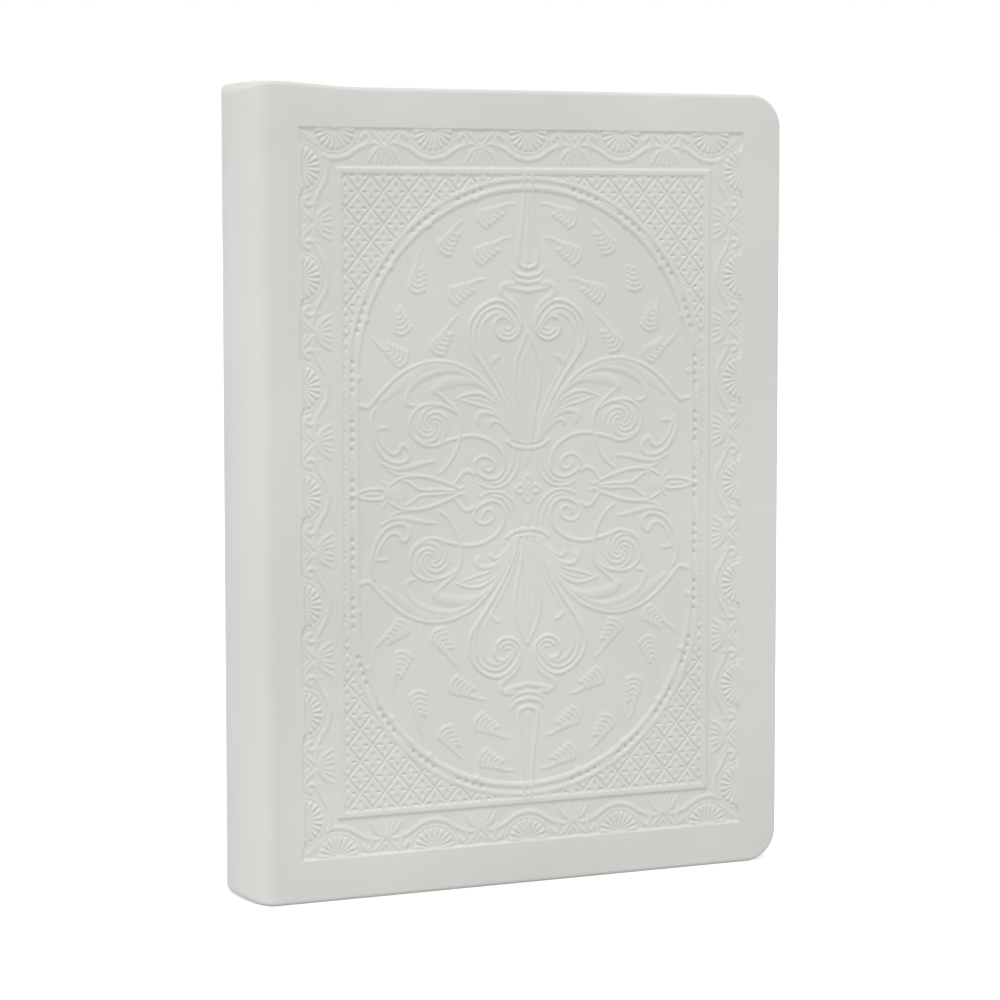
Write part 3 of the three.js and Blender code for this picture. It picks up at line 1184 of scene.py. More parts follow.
        for start in np.arange(BEAD_FIRST, quarter_arc + 2 * BEAD_GROUP, BEAD_GROUP):
            for k in range(4):
                self.quarter.dot(place(start + BEAD_STEP * k), BEAD_HALF, BEAD_DEPTH, sunk=True)
            bar = [place(start + BEAD_BAR + 0.9 * k) for k in range(5)]
            self.quarter.ridge(bar, (0.42,), (0.3,))
        for degrees in (18, 36, 54, 72, 90):
            run = math.radians(degrees) * middle
            self.quarter.dot(place(run, OVAL_INNER - 0.7), 1.0, 0.5)

    def ears(self) -> None:
        """Feathered ears of corn, scattered round the head of the medallion."""
        for base, tip in (
            ((51.0, 24.2), (61.0, 19.6)),
            ((49.8, 34.0), (60.0, 28.4)),
            ((40.2, 32.2), (46.4, 23.8)),
            ((32.8, 42.4), (34.6, 31.0)),
            ((42.6, 44.2), (52.8, 39.2)),
            ((29.4, 53.0), (26.0, 42.4)),
            ((29.8, 60.2), (20.4, 53.6)),
            ((38.2, 58.2), (45.0, 48.4)),
        ):
            self.ear(np.array(base), np.array(tip))
        self.quarter.ridge([(33.7, 49.8), (33.7, 59.6)], (0.45,), (0.18,))

    def ear(self, base: np.ndarray, tip: np.ndarray) -> None:
        """One feathered ear: curved scales that sweep over to one side and end in the awn.

        Args:
            base: Its blunt end.
            tip: Its pointed end.
        """
        along = tip - base
        length = float(np.hypot(*along))
        along /= length
        left = np.array([along[1], -along[0]])

        def at(forward: float, sideways: float) -> Point:
            """A point on the ear, from its blunt end and its axis."""
            return tuple(base + along * forward + left * sideways)

        self.quarter.ridge([at(0.8, 0), at(length * 0.4, 0), at(length * 0.75, 0.4)],
                           (1.6, 1.9, 0.6), (0.12,))
        for k in range(5):
            start, reach = 0.1 + 1.4 * k, 2.4 - 0.32 * k
            scale = [at(start + 2.5, reach * 0.9), at(start + 1.1, reach), at(start, 0.35 * reach),
                     at(start + 0.2, -0.4 * reach), at(start + 0.9, -0.85 * reach)]
            self.quarter.ridge(scale, (0.4, 0.65, 0.62, 0.75), (0.38, 0.5, 0.5))
        awn = [at(length * 0.62, 0.95), at(length * 0.8, 0.9), at(length, 0.1)]
        self.quarter.ridge(awn, (0.55, 0.5, 0.25), (0.45, 0.4, 0.3))

    def spear(self) -> None:
        """The long spear from the frame's head, with its collars and bracket."""
        ridge = self.quarter.ridge
        middle = PANEL_WIDTH / 2
        ridge([(middle, 12.0), (middle, 20.0), (middle, 34.0)], (0.9, 1.6, 2.6), (0.12,))
        ridge([(63.7, 11.6), (63.4, 20.0), (62.5, 28.0), (61.9, 33.4), (62.6, 35.6),
               (middle, 36.4)], (0.62,), (0.64,))
        ridge([(middle, 14.5), (middle, 34.6)], (0.42, 0.6), (0.5,))
        ridge([(60.2, 36.4), (61.4, 37.8), (middle, 38.6)], (0.5, 0.7), (0.5,))
        ridge([(60.4, 38.6), (61.6, 39.7), (middle, 40.3)], (0.45, 0.65), (0.45,))
        ridge([(60.8, 40.4), (58.6, 40.4), (57.2, 41.3), (57.0, 42.6), (58.0, 43.8),
               (59.9, 44.9), (61.7, 46.7), (62.7, 49.0), (63.0, 51.4)],
              (0.8, 1.0, 0.9, 0.6, 0.45), (0.48,))
        ridge([(59.2, 41.3), (61.4, 41.8), (middle, 42.4)], (0.8, 0.75), (0.48,))

    def heart_scroll(self) -> None:
        """Paired scrolls that rise from the tie and close in a feathered volute."""
        ridge = self.quarter.ridge
        ridge([(62.0, 82.0), (60.7, 77.5), (57.8, 71.0), (54.2, 65.0), (51.0, 60.6),
               (48.7, 57.4), (47.7, 54.6), (47.7, 51.8), (48.8, 49.2), (50.8, 46.9),
               (53.3, 45.4), (55.9, 44.8), (58.2, 45.4), (60.2, 46.9), (61.8, 49.0),
               (62.5, 51.4), (62.0, 53.4), (60.2, 54.8), (58.0, 55.0), (56.2, 54.0),
               (55.3, 52.3), (55.2, 50.6), (56.2, 49.3), (57.7, 49.1)],
              (0.45, 0.6, 0.7, 0.62, 0.55, 0.7), (0.6,))
        ridge([(62.3, 81.0), (60.2, 75.0), (56.9, 68.8), (53.6, 64.0), (51.4, 61.0),
               (50.1, 58.6), (49.3, 55.6), (49.5, 52.2), (50.6, 49.4), (52.6, 47.4),
               (55.1, 46.6), (57.4, 47.0), (59.2, 48.4), (60.6, 50.2), (61.3, 51.8),
               (60.8, 53.0), (59.6, 53.7), (58.0, 53.6), (56.9, 52.6)],
              (0.38, 0.5, 0.48), (0.52,))
        ridge([(62.6, 79.0), (60.4, 73.0), (57.2, 66.8), (54.0, 61.6), (51.9, 57.4)],
              (0.3, 0.42, 0.2), (0.4,))
        ridge([(51.0, 54.0), (51.6, 51.2), (53.2, 49.2), (55.5, 48.1), (57.7, 48.6),
               (59.4, 50.2), (60.2, 51.6), (59.4, 52.4), (58.2, 52.2)],
              (0.25, 0.6, 0.9, 0.45, 0.4), (0.4,))
        ridge([(54.0, 61.6), (54.9, 60.3), (56.6, 59.4)], (0.6, 0.95, 0.35), (0.42,))

    def lily(self) -> None:
        """The pointed bud between the scrolls, and the tie below it."""
        ridge = self.quarter.ridge
        middle = PANEL_WIDTH / 2
        ridge([(middle, 55.0), (middle, 63.5), (middle, 74.0), (middle, 83.0)],
              (0.8, 3.2, 2.4, 1.4), (0.18,))
        ridge([(middle, 53.0), (63.1, 56.4), (61.7, 59.8), (61.0, 63.6), (61.3, 67.6),
               (62.2, 72.0), (63.1, 77.0), (63.8, 82.4)], (0.38, 0.65, 0.45), (0.6,))
        ridge([(middle, 57.2), (63.7, 60.4), (63.0, 64.0), (63.1, 68.0), (63.7, 73.0),
               (64.2, 80.0)], (0.3, 0.45, 0.3), (0.42,))
        ridge([(middle, 59.5), (middle, 82.5)], (0.3, 0.55, 0.3), (0.4,))
        ridge([(58.6, 81.8), (60.3, 82.9), (62.4, 83.6), (middle, 83.8)], (0.6, 0.8), (0.55,))
        ridge([(60.0, 81.2), (62.2, 82.0), (middle, 82.2)], (0.4,), (0.5,))
        ridge([(middle, 85.4), (middle, 87.6)], (1.1, 0.6), (0.42,))

    def acanthus(self) -> None:
        """The great leaf that arches from the tie, lobe by lobe."""
        ridge = self.quarter.ridge
        ridge([(61.2, 81.0), (58.8, 75.0), (56.0, 70.4), (53.0, 66.9), (49.4, 63.7),
               (46.5, 62.2), (43.3, 61.0), (39.7, 60.4), (36.2, 60.5), (33.0, 61.3),
               (29.8, 62.6), (27.0, 64.4), (24.2, 66.8), (21.4, 69.6), (19.2, 71.8),
               (16.8, 71.4)], (0.4, 0.6, 0.6, 0.55, 0.7), (0.5,))
        ridge([(48.0, 64.0), (43.0, 62.0), (37.6, 61.7), (34.7, 62.3), (31.6, 64.2),
               (28.6, 66.4), (26.0, 68.2), (23.6, 70.0)],
              (0.3, 0.8, 1.3, 1.7, 1.5, 0.6), (0.3,))
        ridge([(53.4, 68.4), (49.2, 65.2), (45.6, 63.5), (42.6, 62.8), (39.0, 63.0),
               (36.2, 63.8), (33.7, 64.9), (31.6, 66.4), (30.3, 68.2), (29.7, 70.2),
               (30.4, 71.5), (32.3, 71.8)], (0.3, 0.5, 0.8, 1.1, 1.1, 0.9, 0.4), (0.42,))
        ridge([(56.6, 72.0), (53.6, 68.6), (50.4, 66.4), (47.2, 65.6), (44.0, 65.6),
               (41.1, 66.1), (38.9, 66.9), (37.9, 67.8)], (0.3, 0.6, 1.2, 1.8, 1.5), (0.4, 0.46))
        ridge([(60.2, 78.4), (57.8, 74.4), (55.4, 71.6), (53.0, 70.0), (50.8, 69.1),
               (48.6, 69.0), (46.1, 69.5), (43.8, 70.4)], (0.4, 0.55, 0.6, 0.25), (0.48,))
        ridge([(60.4, 79.6), (57.8, 75.8), (55.4, 73.8), (53.0, 72.7), (50.4, 72.1),
               (48.0, 71.4), (45.4, 70.6)], (0.35, 0.5, 0.5, 0.3), (0.42,))
        ridge([(58.4, 75.6), (55.2, 72.6), (51.6, 70.8), (47.6, 70.2)], (0.3, 0.45, 0.2), (0.34,))
        ridge([(60.6, 80.6), (58.2, 77.2), (55.8, 75.0), (53.2, 74.1), (50.9, 74.3),
               (50.1, 75.4), (50.3, 76.6)], (0.35, 0.6, 0.75, 0.85), (0.46,))
        ridge([(60.8, 81.4), (58.6, 78.6), (56.3, 76.7), (54.6, 76.4), (53.9, 77.3)],
              (0.3, 0.55, 0.65), (0.44,))

    def whirl(self) -> None:
        """The wide curl with its whirling heart, and the stem that crosses it."""
        ridge = self.quarter.ridge
        centre = (37.0, 77.1)
        ridge([(47.6, 80.1), (44.0, 80.6), (40.8, 81.4), (38.6, 82.2), (36.4, 82.4),
               (33.7, 81.5), (31.9, 80.0), (31.0, 78.0), (31.0, 75.6), (31.9, 73.7),
               (33.7, 72.2), (36.2, 71.5), (39.0, 71.7), (41.8, 72.6), (44.2, 74.0)],
              (0.5, 0.6, 0.55, 0.5), (0.5,))
        for k in range(5):
            start = 72.0 * k - 130
            arm = spiral_line(centre, (0.9, 5.2), (start, start + 205))
            ridge(arm, (0.4, 0.7, 0.6, 0.3), (0.42, 0.48, 0.35))
        ridge([(38.6, 68.4), (41.1, 70.6), (43.3, 72.4), (44.8, 74.6), (45.4, 77.2),
               (45.2, 80.0), (44.6, 82.6), (43.2, 85.3), (41.4, 87.8), (39.2, 89.5)],
              (0.4, 0.6, 0.6, 0.4), (0.5,))

    def small_volute(self) -> None:
        """The small curl beside the middle, and the lines that run to the tie."""
        ridge = self.quarter.ridge
        ridge([(46.1, 80.2), (49.0, 80.1), (51.9, 80.7), (54.4, 81.9), (56.4, 83.5),
               (57.6, 85.4), (58.0, 87.4), (57.8, 89.3), (56.6, 90.8), (54.8, 91.6),
               (52.6, 91.3), (50.4, 90.2), (49.3, 88.7), (49.4, 87.0), (50.8, 85.8),
               (52.6, 85.7), (54.4, 86.6), (54.9, 88.2), (53.9, 89.5), (52.2, 89.0),
               (51.8, 87.7)], (0.6, 0.6, 0.5, 0.42), (0.5,))
        ridge([(60.8, 83.8), (60.7, 86.0), (60.0, 88.4), (58.6, 90.8), (56.9, 92.4),
               (54.4, 92.9)], (0.4, 0.5, 0.3), (0.44,))
        ridge([(62.2, 84.6), (61.9, 88.2), (60.7, 90.9), (58.8, 92.8), (56.2, 93.9),
               (53.0, 93.8), (50.8, 92.8)], (0.4, 0.5, 0.35), (0.44,))
        ridge([(49.2, 90.2), (47.8, 89.4), (46.1, 89.6), (44.7, 91.1), (43.4, 92.7)],
              (0.6, 0.7, 0.5, 0.4), (0.48,))
        ridge([(43.4, 93.0), (45.0, 93.8), (46.4, 93.4)], (0.35, 0.5, 0.45), (0.42,))

    def outer_scroll(self) -> None:
        """The hooked curve behind the great leaf's tip, and the leaves under it."""
        ridge = self.quarter.ridge
        ridge([(21.0, 72.4), (20.2, 74.5), (20.0, 77.1), (20.5, 80.0), (21.7, 82.7),
               (23.4, 84.9), (25.6, 86.2), (28.0, 86.6), (29.8, 86.0), (30.6, 84.6),
               (30.3, 83.0), (29.2, 82.0), (28.2, 82.4), (27.9, 83.5), (26.6, 84.2)],
              (0.55, 0.6, 0.6, 0.8, 0.6), (0.5,))
        ridge([(21.0, 76.4), (21.8, 79.4), (23.2, 82.0), (24.9, 83.7), (26.6, 84.3)],
              (0.35, 0.5, 0.5), (0.42,))
        ridge([(21.7, 77.6), (23.1, 77.3), (24.5, 77.5)], (0.4, 0.6, 0.5), (0.42,))
        ridge([(22.6, 86.4), (25.9, 87.9), (29.1, 88.0), (31.9, 87.5), (34.7, 86.8),
               (38.2, 86.4)], (0.3, 0.7, 0.9, 0.8, 0.3), (0.42,))
        ridge([(24.6, 88.3), (27.3, 89.5), (30.4, 89.6)], (0.3, 0.5, 0.3), (0.38,))

    def side_fleur(self) -> None:
        """The level spear, its calyx, and the lily that points to the middle."""
        ridge = self.quarter.ridge
        middle = PANEL_HEIGHT / 2
        ridge([(14.0, middle), (16.0, middle)], (0.45,), (0.35,))
        ridge([(15.6, middle - 0.3), (18.0, 93.4), (20.8, 93.1), (23.2, 93.3),
               (24.0, middle)], (0.35, 0.5), (0.48,))
        ridge([(18.3, middle), (21.8, middle)], (0.3, 0.4), (0.42,))
        ridge([(23.2, 91.2), (24.2, 92.4), (24.9, middle)], (0.35, 0.6), (0.42,))
        ridge([(25.4, middle), (27.6, middle)], (2.2, 2.6), (0.26,))
        ridge([(25.2, 92.2), (26.6, 91.4), (28.4, 90.5), (31.2, 90.1), (34.7, 90.3),
               (38.3, 91.2), (41.5, 92.3), (43.8, 93.3)], (0.4, 0.6, 0.55, 0.4), (0.5,))
        ridge([(28.4, 91.2), (30.4, 91.6), (31.9, 92.6), (33.5, 93.6), (36.2, 93.9),
               (39.4, 93.9), (43.6, 94.2)], (0.35, 0.5, 0.45), (0.46,))
        ridge([(28.5, 91.6), (28.9, 93.0), (29.0, middle)], (0.4,), (0.4,))

    def middle_flower(self) -> None:
        """The four-petalled flower at the panel's middle, each petal cupped."""
        ridge = self.quarter.ridge
        u, v = PANEL_WIDTH / 2, PANEL_HEIGHT / 2
        ridge([(u, v - 0.8), (u - 0.9, v - 1.9), (u - 0.6, v - 3.1), (u, v - 3.7)],
              (0.45, 0.6, 0.45), (0.45,))
        ridge([(u - 0.8, v), (u - 1.8, v - 1.0), (u - 3.0, v - 0.7), (u - 3.7, v)],
              (0.45, 0.6, 0.45), (0.45,))
        self.quarter.dot((u, v), 0.8, 0.45)


# ---------------------------------------------------------------- covers


@dataclass
class CoverSkin:
    """Leather of one cover: the pressed outer face and the edges turned in."""

    side: Side
    sizes: BookSizes
    relief: np.ndarray
    stride: int
    bands: int
    leather: float = 1.0
    thickness: float = 3.8
    turned: float = 0.35
    turn_width: float = 14.0
    edge_round: float = 1.1
    inner_round: float = 0.7
    corner_radius: float = 9.0
    sharp: float = 50.0

    @property
    def panel_left(self) -> float:
        """Where the panel starts, on the spine side."""
        return self.sizes.corner + PANEL_INSET

    @property
    def panel_head(self) -> float:
        """The panel's upper edge."""
        return self.sizes.height - PANEL_HEAD

    def place(self, x: np.ndarray, depth: np.ndarray, z: np.ndarray) -> np.ndarray:
        """Points at a depth below the cover's outer face.

        Args:
            x: Positions from spine to fore edge.
            depth: Depth below the outer face.
            z: Heights.

        Returns:
            (..., 3) points.
        """
        y = self.side.value * (self.sizes.face - depth)
        return np.stack(np.broadcast_arrays(x, y, z), axis=-1)

    def build(self, press: GeometryTree, palette: Palette) -> None:
        """Makes the cover's pieces.

        Args:
            press: The group that presses the relief.
            palette: The finishes.
        """
        slopes = np.gradient(self.relief, RASTER)
        step = self.stride
        picks = [np.arange(0, n, step) for n in self.relief.shape]
        rows, columns = picks
        splits = np.linspace(0, len(rows) - 1, self.bands + 1).astype(int)
        for index, (low, high) in enumerate(zip(splits, splits[1:])):
            self.pressed_band(index, rows[low : high + 1], columns, slopes, press, palette)
        self.turned_edge(palette)

    def pressed_band(
        self,
        index: int,
        rows: np.ndarray,
        columns: np.ndarray,
        slopes: list[np.ndarray],
        press: GeometryTree,
        palette: Palette,
    ) -> None:
        """One level band of the pressed face, a closed slab of leather.

        Args:
            index: The band's number from the head.
            rows: Raster rows it takes.
            columns: Raster columns it takes.
            slopes: The relief's slopes down and across the raster.
            press: The group that presses the relief.
            palette: The finishes.
        """
        lead = np.linspace(self.sizes.board, self.panel_left, 8)[:-1]
        x = np.concatenate([lead, self.panel_left + columns * RASTER])
        z = self.panel_head - rows * RASTER
        blank = np.zeros((len(rows), len(lead)))
        relief = np.hstack([blank, self.relief[np.ix_(rows, columns)]])
        down = np.hstack([blank, slopes[0][np.ix_(rows, columns)]])
        across = np.hstack([blank, slopes[1][np.ix_(rows, columns)]])
        count_z, count_x = relief.shape
        top = self.place(x[None, :], np.zeros((1, 1)), z[:, None]).reshape(-1, 3)
        grid = np.arange(count_z * count_x).reshape(count_z, count_x)
        quads = np.stack([grid[:-1, :-1], grid[1:, :-1], grid[1:, 1:], grid[:-1, 1:]], axis=-1)
        quads = quads.reshape(-1, 4)
        rim = np.concatenate([grid[:, 0], grid[-1, 1:], grid[-2::-1, -1], grid[0, -2:0:-1]])
        under = top[rim].copy()
        under[:, 1] = self.side.value * (self.sizes.face - self.leather)
        lower = np.arange(len(rim)) + len(top)
        walls = np.stack([rim, lower, np.roll(lower, -1), np.roll(rim, -1)], axis=-1)
        floor = lower[None, ::-1]
        if self.side is Side.BACK:
            quads, walls, floor = quads[:, ::-1], walls[:, ::-1], floor[:, ::-1]
        name = f"{self.side.label}_cover_pressed_{index + 1}"
        mesh = build_mesh(name, np.vstack([top, under]), quads, walls, floor)
        layer = mesh.attributes.new("relief", "FLOAT", "POINT")
        layer.data.foreach_set(
            "value", np.concatenate([relief.ravel(), np.zeros(len(rim))]).astype(np.float32)
        )
        piece = bpy.data.objects.new(name, mesh)
        bpy.context.scene.collection.objects.link(piece)
        press.apply(piece, Depth=self.side.value * MM, Finish=palette.leather)
        self.true_normals(piece.data, len(quads), down.ravel(), across.ravel())
        dress(piece, palette.leather, "white_leather")
        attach(piece, f"{self.side.label}_cover")
        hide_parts(f"{self.side.label}_cover_leather")
        log.info("%s: %d faces", name, len(piece.data.polygons))

    def true_normals(
        self, mesh: bpy.types.Mesh, faces: int, down: np.ndarray, across: np.ndarray
    ) -> None:
        """Sets the pressed face's normals from the relief itself, so that bands join unseen.

        Args:
            mesh: The band.
            faces: How many faces belong to the pressed side.
            down: The relief's slope along the raster's rows.
            across: The relief's slope along its columns.
        """
        smooth = np.zeros(len(mesh.polygons), bool)
        smooth[:faces] = True
        mesh.polygons.foreach_set("use_smooth", smooth)
        vectors = np.stack(
            [-across, np.full(len(down), float(self.side.value)), down], axis=-1
        )
        vectors /= np.linalg.norm(vectors, axis=1, keepdims=True)
        corners = np.zeros(len(mesh.loops), np.int32)
        mesh.loops.foreach_get("vertex_index", corners)
        normals = np.zeros((len(mesh.loops), 3))
        normals[: faces * 4] = vectors[corners[: faces * 4]]
        mesh.normals_split_custom_set(normals)

    def outline(self) -> tuple[np.ndarray, np.ndarray]:
        """The cover's edge from the joint at the head, round to the joint at the tail.

        Returns:
            (N, 2) points in X and Z, and their outward directions.
        """
        sizes, radius = self.sizes, self.corner_radius
        right, high = sizes.fore - radius, sizes.height - radius
        points, outs = [], []
        for x in np.linspace(sizes.board, right, 30, endpoint=False):
            points.append((x, sizes.height + float(head_lift(sizes, np.array(x)))))
            outs.append((0.0, 1.0))
        for z, low, top in ((high, 90.0, 0.0), (radius, 0.0, -90.0)):
            for angle in np.radians(np.linspace(low, top, 19)):
                out = (math.cos(angle), math.sin(angle))
                points.append((right + radius * out[0], z + radius * out[1]))
                outs.append(out)
            if low == 90.0:
                for level in np.linspace(high, radius, 24)[1:-1]:
                    points.append((sizes.fore, level))
                    outs.append((1.0, 0.0))
        for x in np.linspace(right, sizes.board, 31)[1:]:
            points.append((x, 0.0))
            outs.append((0.0, -1.0))
        return np.array(points), np.array(outs)

    def turned_edge(self, palette: Palette) -> None:
        """Leather outside the pressed face, round the edges and on to the inside.

        Args:
            palette: The finishes.
        """
        points, outs = self.outline()
        sizes = self.sizes
        panel_right = self.panel_left + PANEL_WIDTH
        panel_tail = self.panel_head - PANEL_HEIGHT

        def held(right: float, tail: float, head: float) -> np.ndarray:
            """The edge's points pulled in to a rectangle."""
            return np.stack(
                [np.minimum(points[:, 0], right), np.clip(points[:, 1], tail, head)], axis=-1
            )

        panel = held(panel_right, panel_tail, self.panel_head)
        inset = self.turn_width
        turned = held(sizes.fore - inset, inset, sizes.height - inset)
        outer = [(self.edge_round * (1 - math.sin(a)), self.edge_round * (1 - math.cos(a)))
                 for a in np.linspace(0, math.pi / 2, 8)]
        inner_r = self.inner_round
        inner = [(inner_r * (1 - math.cos(a)), self.thickness - inner_r * (1 - math.sin(a)))
                 for a in np.linspace(0, math.pi / 2, 6)]
        profile = [(panel, 0.0)]
        profile += [(points - outs * d, depth) for d, depth in (*outer, *inner)]
        profile += [
            (turned, self.thickness),
            (turned, self.thickness - self.turned),
            (points - outs * self.leather, self.thickness - self.turned),
            (points - outs * self.leather, self.leather),
            (panel, self.leather),
        ]
        sections = np.stack(
            [self.place(xz[:, 0], np.array(depth), xz[:, 1]) for xz, depth in profile], axis=1
        )
        name = f"{self.side.label}_cover_turned_edge"
        piece = make_object(name, *sweep(sections), sharp_angle=self.sharp)
        dress(piece, palette.leather, "white_leather")
        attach(piece, f"{self.side.label}_cover")
        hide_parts(f"{self.side.label}_cover_leather")
        log.info("%s: %d faces", name, len(piece.data.polygons))


# ---------------------------------------------------------------- spine and joints


@dataclass
class SpineSkin:
    """Leather round the spine, capped at head and tail, and the leather of both joints."""

    sizes: BookSizes
    leather: float = 1.0
    wall: float = 2.0
    turned: float = 0.35
    turn_width: float = 14.0
    edge_round: float = 1.1
    cap_round: float = 3.0
    tail_round: float = 2.4
    joint_wall: float = 1.5
    stations: int = 64
    sharp: float = 50.0

    def build(self, palette: Palette) -> None:
        """Makes the spine and the joints.

        Args:
            palette: The finishes.
        """
        self.spine(palette)
        for side in Side:
            self.joint(side, palette)

    def spine(self, palette: Palette) -> None:
        """The rounded spine with its caps.

        Args:
            palette: The finishes.
        """
        sizes = self.sizes
        bulge = sizes.corner - sizes.spine
        turns = np.linspace(-math.pi / 2, math.pi / 2, self.stations + 1)
        sections = []
        for turn in turns:
            swell = math.cos(turn) ** 2
            top = sizes.head
            head = self.edge_round + (self.cap_round - self.edge_round) * swell
            tail = self.edge_round + (self.tail_round - self.edge_round) * swell
            profile = self.profile(top, head, tail)
            depth, z = profile[:, 0], profile[:, 1]
            x = sizes.corner - (bulge - depth) * math.cos(turn)
            y = (sizes.face - depth) * math.sin(turn)
            sections.append(np.stack([x, y, z], axis=-1))
        piece = make_object("spine_skin", *sweep(np.array(sections)), sharp_angle=self.sharp)
        dress(piece, palette.leather, "white_leather")
        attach(piece, "spine")
        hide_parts("spine_leather")
        log.info("spine_skin: %d faces", len(piece.data.polygons))

    def profile(self, top: float, head: float, tail: float) -> np.ndarray:
        """The spine wall cut from tail to head, as (depth, height) points.

        Args:
            top: The head cap's height.
            head: The head cap's rounding.
            tail: The tail cap's rounding.

        Returns:
            A closed profile.
        """
        def end(radius: float) -> np.ndarray:
            """One cap, as (depth, distance from the end) points."""
            stop = math.acos(max(0.0, 1 - self.cap_round / radius))
            arc = np.linspace(0, stop, 12)
            cap = [(radius * (1 - math.cos(a)), radius * (1 - math.sin(a))) for a in arc]
            lip, rest = max(cap[-1][0], self.wall), cap[-1][1]
            return np.array([
                *cap, (lip + 0.35, rest + 0.3), (lip + 0.3, rest + 0.9), (self.wall + 0.05, 4.8),
                (self.wall, 6.5), (self.wall, self.turn_width),
                (self.wall - self.turned, self.turn_width),
                (self.wall - self.turned, self.cap_round), (self.leather, self.cap_round),
            ])

        upper, lower = end(head), end(tail)[::-1]
        upper[:, 1] = top - upper[:, 1]
        return np.vstack([upper, lower])

    def joint(self, side: Side, palette: Palette) -> None:
        """The flexible strip between the spine and one board.

        Args:
            side: Which cover.
            palette: The finishes.
        """
        sizes = self.sizes
        radius, high = self.edge_round, sizes.height
        arc = np.linspace(0, math.pi / 2, 8)
        head = [(radius * (1 - math.cos(a)), high - radius * (1 - math.sin(a))) for a in arc]
        upper = np.array([*head, (self.joint_wall, high - 0.15), (self.joint_wall, high - 1)])
        lower = upper[::-1].copy()
        lower[:, 1] = high - lower[:, 1]
        profile = np.vstack([upper, lower])
        sections = []
        for x in np.linspace(sizes.corner, sizes.board, 17):
            y = side.value * (sizes.face - profile[:, 0])
            z = profile[:, 1] + head_lift(sizes, x) * (profile[:, 1] > high / 2)
            sections.append(np.stack([np.full(len(profile), x), y, z], axis=-1))
        name = f"{side.label}_joint_skin"
        piece = make_object(name, *sweep(np.array(sections)), sharp_angle=self.sharp)
        dress(piece, palette.leather, "white_leather")
        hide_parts(f"{side.label}_joint_leather")
        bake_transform(piece)
        log.info("%s: %d faces", name, len(piece.data.polygons))


# ---------------------------------------------------------------- paper


@dataclass
class Sheet:
    """A flat sheet with round fore-edge corners, cut fine where it bends."""

    x_start: float
    x_bend: float
    x_flat: float
    x_fore: float
    low: float
    high: float
    radius: float

    def stations(self) -> np.ndarray:
        """Columns from the fold to the fore edge, as (x, low, high) rows."""
        before = np.linspace(self.x_start, self.x_bend, 3)[:-1] if self.x_start < self.x_bend else []
        bend = np.linspace(self.x_bend, self.x_flat, 13)
        flat = np.linspace(self.x_flat, self.x_fore - self.radius, 5)[1:]
        corner = self.x_fore - self.radius * (1 - np.sin(np.linspace(0, math.pi / 2, 8)[1:]))
        x = np.concatenate([before, bend, flat, corner])
        past = np.clip(x - (self.x_fore - self.radius), 0, self.radius)
        cut = self.radius - np.sqrt(np.maximum(self.radius**2 - past**2, 0))
        return np.stack([x, self.low + cut, self.high - cut], axis=-1)

    def solid(self, y0: float, y1: float) -> tuple[np.ndarray, list[np.ndarray]]:
        """The sheet between two levels.

        Args:
            y0: Its lower face.
            y1: Its upper face.

        Returns:
            Points and face groups.
        """
        rows = self.stations()
        sections = np.stack(
            [
                np.stack([rows[:, 0], np.full(len(rows), y), rows[:, k]], axis=-1)
                for y, k in ((y0, 1), (y1, 1), (y1, 2), (y0, 2))
            ],
            axis=1,
        )
        return sweep(sections)


